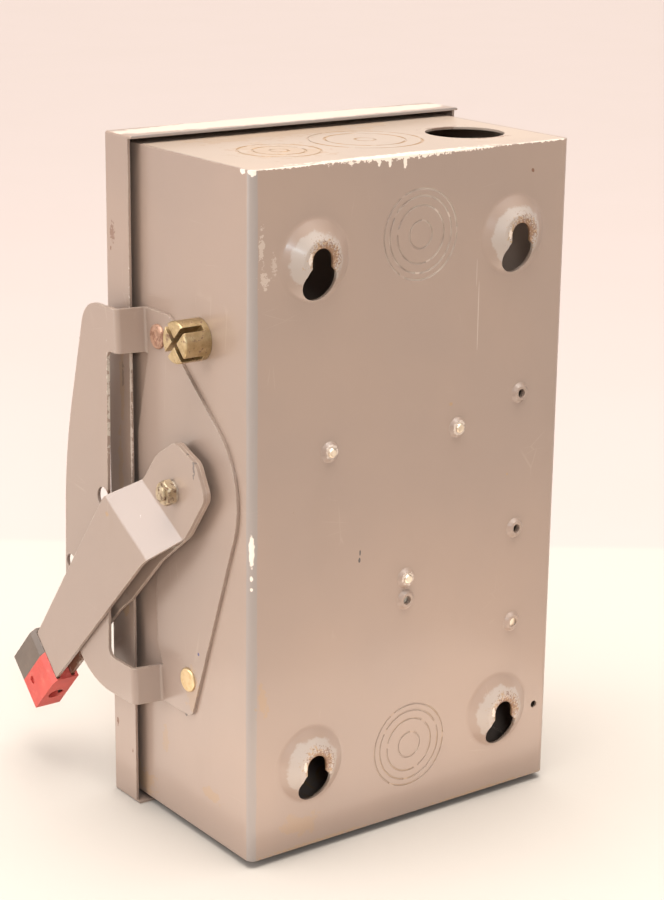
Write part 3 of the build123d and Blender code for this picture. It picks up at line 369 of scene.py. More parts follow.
@dataclass(frozen=True)
class Ring:
    """Thin patchy circle of colour along a scored line, seen along one axis: a stain where dark, a
    painted highlight where light.
    """

    kind: Wear
    at: Point
    radius: float
    flat: Point
    width: float = 0.75
    strength: float = 0.6

    def mask(self, graph: Graph) -> bpy.types.NodeSocket:
        """Builds the circle's mask.

        Args:
            graph: node tree of the material.

        Returns:
            The mask, 1 on the line.
        """
        away = graph.vector("SUBTRACT", graph.place, tuple(v * MM for v in self.at)).outputs["Vector"]
        away = graph.vector("MULTIPLY", away, self.flat).outputs["Vector"]
        far = graph.vector("LENGTH", away, (0, 0, 0)).outputs["Value"]
        off = graph.maths("ABSOLUTE", graph.maths("SUBTRACT", far, self.radius * MM))
        line = graph.between(off, self.width * MM, 0.3 * self.width * MM)
        patch = graph.between(graph.noise(45.0, 3, 0.6), 0.38, 0.62)
        return graph.maths("MULTIPLY", line, graph.maths("MULTIPLY", patch, self.strength))


# ------------------------------------------------------------------ finishes
@dataclass(frozen=True)
class Enamel:
    """Baked grey enamel on folded steel, with its marks of use and its painted light and shade."""

    name: str
    colour: Colour = (0.292, 0.210, 0.168)
    cloud: Colour = (0.320, 0.226, 0.176)
    worn: Colour = (0.50, 0.40, 0.31)
    film: Colour = (0.235, 0.163, 0.122)
    speck: Colour = (0.20, 0.12, 0.07)
    coat: float = 0.45
    edge_wear: float = 0.35
    edge_radius: float = 0.0007
    grime: float = 0.5
    marks: tuple[Mark | Ring, ...] = ()

    def material(self) -> bpy.types.Material:
        """Builds the enamel.

        Returns:
            The finished material.
        """
        g = Graph(self.name)
        broad = g.between(g.noise(7.0, 3, 0.55), 0.35, 0.68)
        colour = g.mix(broad, self.colour, self.cloud)
        drift = g.between(g.noise(26.0, 4, 0.6, (1, 1, 0.45)), 0.52, 0.80)
        colour = g.mix(g.maths("MULTIPLY", drift, 0.30 * self.grime), colour, self.film)
        specks = g.between(g.cells(150.0), 0.10, 0.045)
        specks = g.maths("MULTIPLY", specks, g.between(g.noise(19.0, 2), 0.60, 0.72))
        colour = g.mix(g.maths("MULTIPLY", specks, 0.55 * self.grime), colour, self.speck)
        lines = self.scratches(g)
        colour = g.mix(g.maths("MULTIPLY", lines, 0.13), colour, self.worn)
        edge = g.edges(self.edge_radius * 1.6)
        patchy = g.between(g.noise(160.0, 4, 0.7), 0.50 - 0.22 * self.edge_wear, 0.62)
        edge = g.maths("MULTIPLY", edge, g.maths("MULTIPLY", patchy, min(1.0, 1.6 * self.edge_wear)))
        colour = g.mix(edge, colour, self.worn)
        relief = g.maths("MULTIPLY", g.noise(900.0, 2, 0.5), 0.35)
        relief = g.maths("SUBTRACT", relief, g.maths("MULTIPLY", lines, 0.25))
        relief = g.maths("SUBTRACT", relief, g.maths("MULTIPLY", edge, 0.4))
        rough = g.maths("ADD", g.maths("MULTIPLY", broad, 0.04), 0.33)
        rough = g.maths("ADD", rough, g.maths("MULTIPLY", drift, 0.08))
        for mark in self.marks:
            mask = mark.mask(g)
            colour = g.mix(mask, colour, mark.kind.value)
            relief = g.maths("SUBTRACT", relief, g.maths("MULTIPLY", mask, 0.5))
            rough = g.maths("ADD", rough, g.maths("MULTIPLY", mask, 0.22))
        waves = g.bump(g.noise(22.0, 1, 0.4), 0.0006, 0.35, g.rounding(self.edge_radius))
        normal = g.bump(relief, 0.00012, 0.55, waves)
        return g.surface(colour, rough, normal, coat=self.coat)

    def scratches(self, g: Graph) -> bpy.types.NodeSocket:
        """Sparse hair scratches in two directions.

        Args:
            g: node tree of the material.

        Returns:
            Their mask.
        """
        one = g.between(g.cells(34.0, Cell.EDGE, (1.0, 1.0, 0.18)), 0.010, 0.003)
        one = g.maths("MULTIPLY", one, g.between(g.noise(31.0, 2), 0.60, 0.70))
        two = g.between(g.cells(48.0, Cell.EDGE, (0.25, 0.25, 1.3)), 0.010, 0.003)
        two = g.maths("MULTIPLY", two, g.between(g.noise(23.0, 2, 0.5, (1.3, 1, 1)), 0.62, 0.72))
        return g.maths("MAXIMUM", one, two)


@dataclass(frozen=True)
class Plating:
    """Plated or bare metal with tarnish, pits and rust."""

    name: str
    colour: Colour
    tarnish: Colour
    rust: Colour = (0.13, 0.05, 0.022)
    rusted: float = 0.2
    rough: float = 0.30
    grain: Point = (1, 1, 1)
    edge_radius: float = 0.00025

    def material(self) -> bpy.types.Material:
        """Builds the plating.

        Returns:
            The finished material.
        """
        g = Graph(self.name)
        cloud = g.between(g.noise(210.0, 4, 0.6), 0.35, 0.70)
        colour = g.mix(cloud, self.colour, self.tarnish)
        low = 0.82 - 0.50 * self.rusted
        bloom = g.between(g.noise(330.0, 5, 0.68), low, low + 0.10)
        crevice = g.between(g.noise(95.0, 3, 0.6), low + 0.02, low + 0.14)
        rust = g.maths("MAXIMUM", bloom, crevice)
        colour = g.mix(rust, colour, self.rust)
        bright = g.maths("MULTIPLY", g.edges(self.edge_radius * 1.8), 0.5)
        colour = g.mix(bright, colour, tuple(min(1.0, v * 1.25) for v in self.colour))
        rough = g.maths("ADD", g.maths("MULTIPLY", cloud, 0.16), self.rough)
        rough = g.maths("ADD", rough, g.maths("MULTIPLY", rust, 0.38))
        metal = g.maths("SUBTRACT", 1.0, g.maths("MULTIPLY", rust, 0.92))
        brushed = g.noise(1300.0, 2, 0.5, self.grain)
        relief = g.maths("ADD", g.maths("MULTIPLY", brushed, 0.30), g.maths("MULTIPLY", rust, 0.65))
        normal = g.bump(relief, 0.00010, 0.5, g.rounding(self.edge_radius))
        return g.surface(colour, rough, normal, metal)


@dataclass(frozen=True)
class Moulding:
    """Moulded plastic or glazed insulator, with patchy dust and rubbed edges."""

    name: str
    colour: Colour
    shade: Colour
    dust: Colour
    dusty: float = 0.3
    rough: float = 0.45
    rubbed: Colour = (0.5, 0.4, 0.35)
    edge_radius: float = 0.0006
    marks: tuple[Mark, ...] = ()

    def material(self) -> bpy.types.Material:
        """Builds the moulding.

        Returns:
            The finished material.
        """
        g = Graph(self.name)
        cloud = g.between(g.noise(60.0, 4, 0.6), 0.35, 0.70)
        colour = g.mix(cloud, self.colour, self.shade)
        film = g.between(g.noise(140.0, 5, 0.68), 0.62 - 0.35 * self.dusty, 0.80 - 0.25 * self.dusty)
        colour = g.mix(g.maths("MULTIPLY", film, min(1.0, 1.4 * self.dusty)), colour, self.dust)
        patchy = g.between(g.noise(260.0, 3, 0.6), 0.40, 0.62)
        edge = g.maths("MULTIPLY", g.edges(self.edge_radius * 1.6), patchy)
        colour = g.mix(g.maths("MULTIPLY", edge, 0.45), colour, self.rubbed)
        for mark in self.marks:
            colour = g.mix(mark.mask(g), colour, mark.kind.value)
        rough = g.maths("ADD", g.maths("MULTIPLY", film, 0.20), self.rough)
        relief = g.maths("ADD", g.noise(700.0, 3, 0.55), g.maths("MULTIPLY", edge, -0.6))
        normal = g.bump(relief, 0.00010, 0.45, g.rounding(self.edge_radius))
        return g.surface(colour, rough, normal)


@dataclass(frozen=True)
class Paper:
    """Backdrop paper in two faint tones that meet behind the object; the darker far tone is painted
    shade.
    """

    name: str
    near: Colour
    far: Colour
    ahead: tuple[float, float]
    line: float
    fibre: Colour = (0.36, 0.30, 0.25)

    def material(self) -> bpy.types.Material:
        """Builds the paper.

        Returns:
            The finished material.
        """
        g = Graph(self.name)
        along = g.vector("DOT_PRODUCT", g.place, (*self.ahead, 0.0)).outputs["Value"]
        # painted shade: the floor turns to the darker far tone beyond the line
        colour = g.mix(g.between(along, self.line - 0.004, self.line + 0.012), self.near, self.far)
        cloud = g.between(g.noise(5.0, 3, 0.5), 0.3, 0.75)
        colour = g.mix(g.maths("MULTIPLY", cloud, 0.05), colour, self.fibre)
        normal = g.bump(g.noise(420.0, 3, 0.55), 0.0002, 0.25)
        return g.surface(colour, 0.85, normal)


# ------------------------------------------------------------------ shared making
def dress(nodes: list[str], finish: Enamel | Plating | Moulding) -> None:
    """Gives several solid pieces one finish.

    Args:
        nodes: names of the pieces.
        finish: the finish.
    """
    material = finish.material()
    for node in nodes:
        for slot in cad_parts[node].material_slots:
            slot.material = material
        LOG.info("%s: %s", node, finish.name)


def mesh_piece(name: str, points: list[Vector], faces: list[tuple[int, ...]], body: str,
               material: bpy.types.Material) -> bpy.types.Object:
    """Makes a flat-shaded mesh that rides on a body.

    Args:
        name: name of the piece.
        points: its corners.
        faces: its faces.
        body: body that carries it.
        material: its finish.

    Returns:
        The new object.
    """
    mesh = bpy.data.meshes.new(name)
    mesh.from_pydata(points, [], faces)
    mesh.validate()
    mesh.polygons.foreach_set("use_smooth", [False] * len(mesh.polygons))
    mesh.materials.append(material)
    piece = bpy.data.objects.new(name, mesh)
    bpy.context.scene.collection.objects.link(piece)
    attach(piece, body)
    LOG.info("%s: made, %d faces", name, len(mesh.polygons))
    return piece


@dataclass
class Thread:
    """Screw thread on a cylinder: a closed V-shaped ridge wound round its axis."""

    name: str
    start: Point
    axis: Axis
    radius: float
    length: float
    pitch: float
    body: str
    slot: str
    depth: float = 0.30
    around: int = 28

    def build(self, material: bpy.types.Material) -> bpy.types.Object:
        """Winds the ridge.

        Args:
            material: its finish.

        Returns:
            The ridge.
        """
        turns = self.length / self.pitch
        steps = max(8, int(turns * self.around))
        points, faces = [], []
        for i in range(steps + 1):
            share = i / steps
            fade = min(1.0, share * 12, (1 - share) * 12)
            angle = 2 * math.pi * turns * share
            for along, out in ((-0.44, -0.05), (0.0, fade), (0.44, -0.05)):
                far = self.radius + self.depth * out
                side = self.pitch * along * max(0.15, fade) + self.length * share
                points.append(self.lay(side, far * math.cos(angle), far * math.sin(angle)))
        for i in range(steps):
            for k in range(3):
                a, b = i * 3 + k, i * 3 + (k + 1) % 3
                faces.append((a, b, b + 3, a + 3))
        faces += [(2, 1, 0), (steps * 3, steps * 3 + 1, steps * 3 + 2)]
        return mesh_piece(self.name, points, faces, self.body, material)

    def lay(self, along: float, u: float, v: float) -> Vector:
        """Turns a point about the thread's axis into the shared frame.

        Args:
            along: distance from the thread's start.
            u: first distance across the axis.
            v: second distance across the axis, upwards.

        Returns:
            The point, in metres.
        """
        x, y, z = self.start
        if self.axis is Axis.HANDLE_SIDE:
            return Vector((x + along, y + u, z + v)) * MM
        return Vector((x + u, y + along, z + v)) * MM


# ------------------------------------------------------------------ sub-assemblies
@dataclass
class Enclosure:
    """Folded box, end walls and the screws' ends on its back."""

    keyhole_at: tuple[tuple[float, float], ...] = ((66, 150), (-66, 150), (66, -128), (-66, -128))
    screw_at: tuple[tuple[float, float], ...] = ((55.0, 46.5), (-31.0, 46.5), (2.5, -34.0))
    knockout_x: float = -2.3
    knockout_z: tuple[float, float] = (156.0, -134.0)
    knockout_radii: tuple[float, ...] = (24.2, 20.5, 15.5, 7.5)
    top_knockouts: tuple[tuple[float, float, tuple[float, ...]], ...] = (
        (55.0, -55.0, (22.0, 14.0, 5.0)), (-7.0, -63.0, (31.0, 22.0, 5.5)))
    top_z: float = 198.5
    bottom_z: float = -176.5
    screw_radius: float = 2.42
    thread_from_y: float = -7.6
    thread_length: float = 3.3
    thread_pitch: float = 0.8
    thread_depth: float = 0.22

    def wrapper_marks(self) -> tuple[Mark | Ring, ...]:
        """Lists the marks on the folded sheet.

        Returns:
            The marks, in millimetres.
        """
        marks = [
            # Cool dark grey down the handle-side bend: painted shade and cool reflection.
            Mark(Wear.PAINTED_COOL_SHADE, (103.4, -8.6, 11), (3.4, 3.4, 400), 0.10, 60, 0.55),
            Mark(Wear.CHIP, (104.2, -7.8, 198.0), (3.2, 3.4, 2.6), 0.5),
            Mark(Wear.CHIP, (105.0, -14.5, 197.8), (1.5, 2.2, 1.8), 0.6),
            Mark(Wear.CHIP, (12, -7.6, 198.6), (46, 2.6, 1.9), 0.9, 420),
            Mark(Wear.CHIP, (26, -7.2, 196.9), (1.2, 1.5, 2.6), 0.5, 500),
            Mark(Wear.CHIP, (19, -7.2, 196.2), (0.9, 1.5, 3.0), 0.5, 500),
            Mark(Wear.CHIP, (9, -7.2, 195.4), (1.3, 1.5, 3.8), 0.5, 500),
            Mark(Wear.CHIP, (-28, -7.6, 198.7), (30, 2.2, 1.3), 0.9, 420),
            Mark(Wear.CHIP, (80, -7.6, 198.8), (26, 1.6, 0.9), 0.9, 420),
            Mark(Wear.CHIP, (-85, -7.6, 198.8), (24, 1.6, 0.9), 0.9, 420),
            Mark(Wear.CHIP, (103.9, -8.0, 1.0), (1.7, 1.7, 10.5), 0.35, 300),
            Mark(Wear.CHIP, (103.9, -8.0, -14.5), (1.2, 1.2, 1.8), 0.3, 300),
            Mark(Wear.CHIP, (103.9, -8.0, -20.5), (1.0, 1.0, 1.2), 0.3, 300),
            Mark(Wear.CHIP, (98.5, -7.0, 160), (1.6, 1.5, 8), 1.3, 480, 0.26),
            Mark(Wear.CHIP, (97.0, -7.0, 143), (2.4, 1.5, 4), 1.3, 520, 0.26),
            Mark(Wear.CHIP, (91.0, -7.0, 150), (1.4, 1.5, 5), 1.4, 560, 0.20),
            Mark(Wear.CHIP, (-43.3, -7.0, 107.0), (0.42, 1.0, 22), 0.12, 300, 0.24),
            Mark(Wear.CHIP, (-41.5, -7.0, 131.0), (0.4, 1.0, 8), 0.12, 300, 0.15),
            Mark(Wear.DARK, (34.1, -7.0, -13.4), (0.55, 1, 1.6), 0.3, 500, 0.8),
            Mark(Wear.DARK, (34.5, -7.0, -17.4), (0.75, 1, 1.5), 0.3, 500, 0.85),
            Mark(Wear.STAIN, (-26.1, -7.0, 60.3), (1.1, 1, 1.0), 0.3, 500, 0.8),
            Mark(Wear.STAIN, (-68.1, -7.0, 13.4), (0.8, 1, 0.8), 0.3, 500, 0.8),
            Mark(Wear.RUST, (-78.8, -7.0, 183.4), (1.2, 1, 1.2), 0.3, 500, 0.9),
            Mark(Wear.STAIN, (97, -7.4, -86), (3.5, 2.5, 9.0), 0.9, 260, 0.45),
            Mark(Wear.STAIN, (72, -7.0, -163), (12, 2, 6), 0.9, 180, 0.35),
            # Dark lines along the bottom back edge: painted shade where the box meets the floor.
            Mark(Wear.STAIN, (60, -7.2, -175.6), (40, 2, 1.1), 0.9, 420, 0.5),
            Mark(Wear.STAIN, (-55, -7.2, -175.7), (40, 2, 0.9), 0.9, 420, 0.5),
            Mark(Wear.STAIN, (105, -44, -151), (2, 9, 3.5), 0.9, 240, 0.45),
            Mark(Wear.STAIN, (105, -92, -134), (2, 3, 9), 0.9, 240, 0.35),
            Mark(Wear.DARK, (105, -70, -112), (2, 1.2, 1.2), 0.4, 400, 0.7),
            Mark(Wear.STAIN, (105, -118, -168), (2, 16, 7), 0.9, 180, 0.4),
        ]
        upper, lower = ((self.knockout_x, -7.0, z) for z in self.knockout_z)
        for radius in self.knockout_radii:
            # Light circles on the upper knockout: painted highlight on the scored grooves' edges; the
            # lower knockout's circles are dark.
            marks.append(Ring(Wear.CHIP, upper, radius, (1, 0, 1), 0.7, 0.35))
            marks.append(Ring(Wear.STAIN, lower, radius, (1, 0, 1), 0.6, 0.5))
        for x, z in self.keyhole_at:
            low = 0.85 if z < 0 else 0.5
            marks += [
                # Lighter, cooler paint over each dome's flanks: a painted highlight.
                Mark(Wear.PAINTED_HIGHLIGHT, (x + 2.0, -1.0, z), (19.5, 5.6, 19.5), 0.25, 120, 0.42),
                Mark(Wear.RUST, (x, -0.8, z + 0.7), (7.3, 3.4, 7.6), 0.40, 700, low),
                Mark(Wear.STAIN, (x - 1.0, -0.8, z + 0.5), (9.6, 2.6, 10.0), 0.75, 460, 0.75),
                Mark(Wear.RUST, (x - 2.5, -0.6, z + 2.0), (8.6, 2.0, 8.6), 1.0, 900, 0.65),
                Mark(Wear.RUST, (x, -2.6, z - 11.0), (10.6, 2.4, 10.6), 0.2, 420, low * 0.75),
                Mark(Wear.CHIP, (x + 7.5, 0.0, z + 2.0), (1.2, 1.2, 3.0), 0.6, 520, 0.6),
            ]
        for x, z in self.screw_at:
            marks.append(Mark(Wear.CHIP, (x, -4.9, z), (4.4, 0.9, 4.4), 0.5, 500, 0.5))
        return tuple(marks)

    def knockout_rings(self) -> tuple[Ring, ...]:
        """Lists the scored circles that both end walls have.

        Returns:
            The circles, in millimetres.
        """
        return tuple(Ring(Wear.STAIN, (x, y, self.top_z), radius, (1, 1, 0), 1.5, 0.95)
                     for x, y, radii in self.top_knockouts for radius in radii)

    def top_marks(self) -> tuple[Mark | Ring, ...]:
        """Lists the marks on the top wall.

        Returns:
            The marks, in millimetres.
        """
        z = self.top_z
        return self.knockout_rings() + (
            Mark(Wear.STAIN, (55, -55, z), (24, 24, 2), 0.9, 140, 0.30),
            Mark(Wear.CHIP, (10, -11.5, z), (60, 3.0, 2), 0.9, 380, 0.7),
            Mark(Wear.RUST, (-70, -33, z), (14, 2.0, 2), 0.8, 380, 0.6),
            Mark(Wear.RUST, (-70, -77, z), (14, 1.8, 2), 0.8, 380, 0.5),
            Mark(Wear.STAIN, (20, -110, z), (70, 20, 2), 0.9, 90, 0.25),
        )

    def bottom_marks(self) -> tuple[Mark | Ring, ...]:
        """Lists the marks on the bottom wall.

        Returns:
            The marks, in millimetres.
        """
        return self.knockout_rings() + (
            Mark(Wear.STAIN, (0, -100, self.bottom_z), (80, 30, 2), 0.9, 80, 0.25),
        )

    def build(self) -> None:
        """Dresses the box and winds the threads on the screws' ends."""
        dress(["enclosure_wrapper"], Enamel("enamel_box", marks=self.wrapper_marks()))
        # The top wall's enamel is a lighter copy of the box's enamel: painted light from overhead.
        dress(["top_end_wall"], Enamel("enamel_top_painted_light", colour=(0.39, 0.300, 0.240),
                                       cloud=(0.435, 0.332, 0.262), marks=self.top_marks()))
        dress(["bottom_end_wall"], Enamel("enamel_bottom", marks=self.bottom_marks()))
        zinc = Plating("zinc_screw_end", (0.80, 0.70, 0.58), (0.60, 0.48, 0.36), rusted=0.10, rough=0.34)
        dress(["base_screws", "ground_lug_screws"], zinc)
        thread = zinc.material()
        for n, (x, z) in enumerate(self.screw_at, 1):
            Thread(f"screw_thread_{n}", (x, self.thread_from_y, z), Axis.WALL_SIDE, self.screw_radius,
                   self.thread_length, self.thread_pitch, "enclosure", "zinc",
                   depth=self.thread_depth).build(thread)


@dataclass
class CoverSet:
    """Cover, its hinges and its catch."""

    side_x: float = 111.0
    face_y: float = -138.5

    def build(self) -> None:
        """Dresses the cover's pieces."""
        side, face = self.side_x, self.face_y
        marks = (
            # Smooth light band over the whole top of the cover's flange: painted light from overhead.
            Mark(Wear.CHIP, (0, -126, 203.4), (150, 13.5, 1.3), 0.15, 120, 0.50),
            Mark(Wear.RUST, (side, -131.5, 148.8), (1.5, 2.4, 5.2), 0.9, 520, 0.65),
            Mark(Wear.RUST, (side, -133.5, 140), (1.5, 0.8, 1.4), 0.5, 420, 0.8),
            Mark(Wear.RUST, (side, -134.2, -136.9), (1.5, 1.2, 2.6), 0.6, 420, 0.9),
            Mark(Wear.RUST, (side, -118, -150), (1.5, 1.0, 1.6), 0.6, 420, 0.7),
            Mark(Wear.STAIN, (side, -123.5, 66), (1.5, 2.4, 26), 0.9, 150, 0.45),
            Mark(Wear.STAIN, (side, -126.5, 20), (1.5, 2.4, 20), 0.9, 150, 0.4),
            Mark(Wear.DARK, (side, -122.5, 72), (1.5, 1.2, 9), 0.9, 260, 0.35),
            Mark(Wear.STAIN, (side, -124, -60), (1.5, 3.5, 14), 0.9, 150, 0.5),
            Mark(Wear.CHIP, (side, -115, 60), (1.5, 0.7, 60), 0.9, 260, 0.5),
            # Thin cool dark grey line at the rear edge of the cover's top flange: painted shade.
            Mark(Wear.PAINTED_COOL_SHADE, (0, -111.4, 203.0), (140, 0.9, 2.2), 0.3, 240, 0.6),
            Mark(Wear.CHIP, (40, face + 0.1, -150), (7, 1, 0.8), 0.9, 300, 0.3),
            Mark(Wear.CHIP, (-70, face + 0.1, 120), (0.8, 1, 6), 0.9, 300, 0.3),
            Mark(Wear.STAIN, (30, face, -40), (40, 1, 60), 0.9, 60, 0.25),
            Mark(Wear.RUST, (-96, face, -178), (7, 1.2, 4), 0.9, 300, 0.7),
        )
        dress(["cover"], Enamel("enamel_cover", edge_wear=0.45, marks=marks))
        leaves = [f"{side}_hinge_leaf_{end}" for side in ("box", "cover") for end in ("upper", "lower")]
        dress(leaves, Enamel("enamel_hinges", edge_wear=0.6, grime=0.9))
        steel = Plating("zinc_hinge", (0.62, 0.58, 0.52), (0.42, 0.37, 0.31), rusted=0.30, rough=0.36,
                        grain=(1, 1, 0.1))
        dress(["hinge_pin_upper", "hinge_pin_lower", "cover_catch"], steel)


@dataclass
class Guard:
    """Handle guard, its rivets and the interlock release."""

    plate_x: float = 107.0

    def build(self) -> None:
        """Dresses the guard's pieces."""
        plate = self.plate_x
        marks = (
            Mark(Wear.INK, (plate - 0.1, -54.4, -71.0), (1.5, 0.9, 0.9), 0.3, 500, 0.9),
            Mark(Wear.STAIN, (plate, -60, -95), (1.5, 7, 12), 0.9, 200, 0.35),
            Mark(Wear.CHIP, (plate, -30, 85), (1.5, 3, 1.2), 0.8, 400, 0.4),
            Mark(Wear.RUST, (124, -119, 6.5), (2, 1.4, 2.2), 0.4, 420, 0.7),
            Mark(Wear.BARE, (123, -117.5, 20), (2.0, 0.9, 70), 0.8, 260, 0.8),
        )
        dress(["handle_guard"], Enamel("enamel_guard", colour=(0.280, 0.205, 0.167),
                                       cloud=(0.300, 0.216, 0.172), edge_wear=0.5, marks=marks))
        dress(["guard_rivet_upper"], Plating("rusted_rivet", (0.52, 0.33, 0.24), (0.40, 0.23, 0.155),
                                             rust=(0.21, 0.10, 0.06), rusted=0.66, rough=0.48))
        dress(["guard_rivet_lower"], Plating("yellow_rivet", (0.70, 0.55, 0.34), (0.60, 0.44, 0.24),
                                             rusted=0.14, rough=0.36))
        dress(["interlock_release"], Plating("yellow_release", (0.54, 0.42, 0.245), (0.38, 0.27, 0.14),
                                             rust=(0.17, 0.085, 0.045), rusted=0.50, rough=0.33,
                                             grain=(0.15, 1, 1)))
        dress(["release_clip", "release_cam"], Plating("zinc_cam", (0.60, 0.57, 0.52), (0.45, 0.40, 0.34),
                                                       rusted=0.2, rough=0.35))


@dataclass
class Lever:
    """Lever plates, grip, pivot and the stud's thread."""

    pivot: tuple[float, float] = (-64.5, 20.5)
    stud_from_x: float = 122.9
    stud_radius: float = 3.92
    thread_length: float = 1.55
    thread_pitch: float = 0.75
    thread_depth: float = 0.26

    def build(self) -> None:
        """Dresses the lever and winds its stud's thread."""
        marks = (
            Mark(Wear.DARK, (117, -49.5, 47.0), (2.5, 2.6, 3.2), 0.6, 420, 0.8),
            Mark(Wear.DARK, (117, -43.5, 39.0), (2.5, 1.2, 5.5), 0.7, 420, 0.6),
            Mark(Wear.BARE, (116, -68, -11.5), (2.5, 22, 2.4), 0.8, 300, 0.65),
            Mark(Wear.STAIN, (118.7, -100, 5), (2.5, 3.0, 2.2), 0.7, 420, 0.75),
            Mark(Wear.STAIN, (124, -115, -4), (6, 2.0, 1.6), 0.7, 420, 0.75),
            Mark(Wear.CHIP, (118.7, -88, -2), (2.5, 0.8, 6), 0.9, 320, 0.4),
        )
        dress(["lever_outer_plate"], Enamel("enamel_lever", colour=(0.283, 0.206, 0.168),
                                            cloud=(0.300, 0.217, 0.173), edge_wear=0.8,
                                            edge_radius=0.0006, marks=marks))
        rusty = (
            Mark(Wear.RUST, (116, -183, -104), (4, 30, 26), 0.9, 160, 0.85),
            Mark(Wear.BARE, (116, -68, -11.5), (2.5, 22, 2.4), 0.8, 300, 0.6),
        )
        dress(["lever_inner_plate"], Enamel("enamel_inner_lever", colour=(0.285, 0.206, 0.163),
                                            edge_wear=0.9, grime=1.0, marks=rusty))
        dress(["grip_front_half"], Moulding("black_grip", (0.100, 0.072, 0.055), (0.128, 0.092, 0.072),
                                            dust=(0.26, 0.19, 0.15), dusty=0.25, rough=0.42,
                                            rubbed=(0.30, 0.22, 0.18)))
        dress(["grip_rear_half", "grip_pin"],
              Moulding("red_grip", (0.52, 0.062, 0.045), (0.45, 0.048, 0.038), dust=(0.62, 0.19, 0.14),
                       dusty=0.32, rough=0.50, rubbed=(0.66, 0.22, 0.17)))
        yellow = Plating("yellow_zinc", (0.54, 0.44, 0.31), (0.36, 0.27, 0.17), rust=(0.12, 0.06, 0.03),
                         rusted=0.58, rough=0.34)
        dress(["pivot_nut", "pivot_shaft"], yellow)
        dress(["pivot_lock_washer", "pivot_bush"],
              Plating("dull_zinc", (0.58, 0.52, 0.44), (0.42, 0.34, 0.26), rusted=0.34, rough=0.40))
        Thread("stud_thread", (self.stud_from_x, *self.pivot), Axis.HANDLE_SIDE, self.stud_radius,
               self.thread_length, self.thread_pitch, "lever", "zinc_yellow",
               depth=self.thread_depth).build(yellow.material())


@dataclass
class Works:
    """Everything inside the box: mechanism, crossbar and switching unit."""

    poles: tuple[int, ...] = (1, 2, 3)

    def each(self, *stems: str) -> list[str]:
        """Names of the pieces that every pole has."""
        return [f"{stem}_{n}" for stem in stems for n in self.poles]

    def build(self) -> None:
        """Dresses the inner pieces."""
        zinc = Plating("zinc_mechanism", (0.66, 0.63, 0.57), (0.48, 0.44, 0.38), rusted=0.16, rough=0.32,
                       grain=(1, 1, 0.08))
        dress(["mechanism_frame", "mechanism_frame_rivets", "drive_arm", "crossbar_driver"], zinc)
        dress(["drive_spring"],
              Plating("spring_steel", (0.34, 0.33, 0.33), (0.20, 0.19, 0.19), rusted=0.12))
        dress(["line_lug_screws", "load_lug_screws", "terminal_screws", "shield_screws"],
              Plating("zinc_screws", (0.70, 0.66, 0.58), (0.52, 0.46, 0.38), rusted=0.10, rough=0.30))
        dress(self.each("line_lug", "load_lug") + ["ground_lug"],
              Plating("tinned_lug", (0.76, 0.75, 0.73), (0.60, 0.58, 0.55), rust=(0.38, 0.34, 0.30),
                      rusted=0.16, rough=0.38, grain=(1, 1, 0.1)))
        dress(self.each("blade", "line_jaw", "load_jaw"),
              Plating("copper_contact", (0.72, 0.34, 0.20), (0.50, 0.21, 0.12), rust=(0.10, 0.06, 0.045),
                      rusted=0.18, rough=0.28))
        dress(["crossbar"], Moulding("black_bar", (0.030, 0.027, 0.026), (0.050, 0.044, 0.040),
                                     dust=(0.24, 0.20, 0.16), dusty=0.3, rough=0.36))
        dress(["switch_base", "crossbar_bush_left", "crossbar_bush_right"],
              Moulding("glazed_base", (0.66, 0.60, 0.50), (0.58, 0.52, 0.42), dust=(0.44, 0.36, 0.27),
                       dusty=0.25, rough=0.22, rubbed=(0.46, 0.38, 0.30)))
        dress(["line_shield"], Moulding("fibre_sheet", (0.15, 0.090, 0.055), (0.20, 0.125, 0.075),
                                        dust=(0.36, 0.28, 0.20), dusty=0.3, rough=0.55))


@dataclass(frozen=True)
class Softbox:
    """Soft rectangular light that the camera doesn't see."""

    name: str
    at: Point
    aim: Point
    size: tuple[float, float]
    power: float
    colour: Colour

    def place(self) -> None:
        """Stands the light in the room."""
        data = bpy.data.lights.new(self.name, "AREA")
        data.shape = "RECTANGLE"
        data.size, data.size_y = self.size
        data.energy = self.power
        data.color = self.colour
        light = bpy.data.objects.new(self.name, data)
        light.location = self.at
        light.rotation_euler = (Vector(self.aim) - Vector(self.at)).to_track_quat("-Z", "Y").to_euler()
        light.visible_camera = False
        bpy.context.scene.collection.objects.link(light)


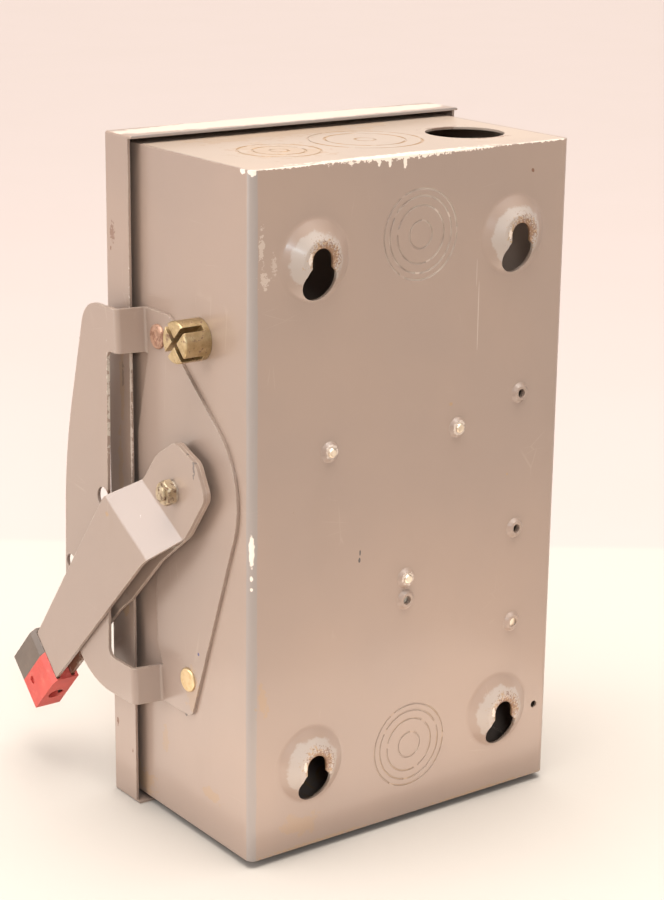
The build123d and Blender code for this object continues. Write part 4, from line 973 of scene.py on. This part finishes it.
@dataclass
class Studio:
    """Pale floor, soft lights and the camera, in metres, watts and degrees."""

    camera_at: Point = (0.70776, 0.88163, 0.37264)
    camera_turn: Point = (73.575, -0.694, 143.85)
    lens: float = 87.883
    sensor: float = 36.0
    floor_z: float = SOLID_BOX[0].z
    floor_reach: float = 60.0
    far_clip: float = 200.0
    junction: float = 0.485
    paper_near: Colour = (0.445, 0.400, 0.360)
    # The far tone is darker: painted shade standing in for the backdrop beyond the line.
    paper_far_shade: Colour = (0.435, 0.364, 0.342)
    sky_low: Colour = (0.16, 0.150, 0.140)
    sky_high: Colour = (7.9, 7.60, 7.20)
    sky_gather: float = 6.0
    sky_band: Colour = (0.92, 0.80, 0.73)
    band_fades: tuple[float, float] = (0.34, 0.05)
    lights: tuple[Softbox, ...] = (
        Softbox("overhead", (0.1, 0.1, 1.5), (0.0, 0.0, 0.0), (1.1, 1.1), 12.0, (1.0, 0.97, 0.92)),
        Softbox("side_key", (1.9, -0.9, 0.45), (0.10, -0.07, 0.0), (1.2, 1.2), 24.0, (0.96, 0.98, 1.0)),
        Softbox("front_softbox", (1.04, 1.60, 0.86), (0.0, 0.0, 0.02), (0.22, 0.22), 12.0,
                (0.78, 0.91, 1.0)),
        Softbox("back_bounce", (0.0, 0.11, -0.178), (0.0, 0.11, 1.0), (0.42, 0.18), 0.40,
                (1.0, 0.85, 0.72)),
        Softbox("side_bounce", (0.22, -0.08, -0.178), (0.22, -0.08, 1.0), (0.18, 0.34), 0.16,
                (1.0, 0.88, 0.78)),
    )

    def turn(self) -> Matrix:
        """Works out which way the camera faces.

        Returns:
            The camera's rotation.
        """
        return Euler([math.radians(angle) for angle in self.camera_turn]).to_matrix()

    def camera(self) -> None:
        """Places the camera."""
        data = bpy.data.cameras.new("camera")
        data.sensor_fit = "VERTICAL"
        data.sensor_height = self.sensor
        data.lens = self.lens
        data.clip_end = self.far_clip
        camera = bpy.data.objects.new("camera", data)
        camera.matrix_world = Matrix.Translation(self.camera_at) @ self.turn().to_4x4()
        bpy.context.scene.collection.objects.link(camera)
        bpy.context.scene.camera = camera

    def floor(self) -> None:
        """Lays the paper that the box stands on."""
        ahead = self.turn() @ Vector((0.0, 0.0, -1.0))
        flat = Vector((ahead.x, ahead.y)).normalized()
        paper = Paper("pale_paper", self.paper_near, self.paper_far_shade, (flat.x, flat.y), self.junction)
        reach = self.floor_reach
        corners = [Vector((x * reach, y * reach, self.floor_z))
                   for x, y in ((-1, -1), (1, -1), (1, 1), (-1, 1))]
        mesh = bpy.data.meshes.new("floor")
        mesh.from_pydata(corners, [], [(0, 1, 2, 3)])
        mesh.materials.append(paper.material())
        floor = bpy.data.objects.new("floor", mesh)
        bpy.context.scene.collection.objects.link(floor)

    def world(self) -> None:
        """Fills the room with soft light that is strongest overhead, over a pale band."""
        sky = SkyGraph("room")
        split = sky.node("ShaderNodeSeparateXYZ")
        sky.feed(split.inputs[0], sky.place)
        height = split.outputs["Z"]
        overhead = sky.maths("POWER", sky.maths("MAXIMUM", height, 0.0), self.sky_gather)
        glow = sky.mix(overhead, self.sky_low, self.sky_high)
        band = sky.between(height, *self.band_fades)
        back = sky.node("ShaderNodeBackground")
        sky.feed(back.inputs["Color"], sky.mix(band, glow, self.sky_band))
        sky.feed(sky.output.inputs["Surface"], back.outputs[0])
        bpy.context.scene.world = sky.world

    def build(self) -> None:
        """Sets up the whole studio."""
        bpy.context.scene.view_settings.view_transform = "Standard"
        self.world()
        self.floor()
        for light in self.lights:
            light.place()
            LOG.info("%s: placed", light.name)
        self.camera()


def main() -> None:
    """Builds the classes in order."""
    logging.basicConfig(level=logging.INFO, format="%(name)s: %(message)s")
    for part in (Enclosure(), CoverSet(), Guard(), Lever(), Works(), Studio()):
        LOG.info("building %s", type(part).__name__)
        part.build()


if __name__ == "__main__":
    main()
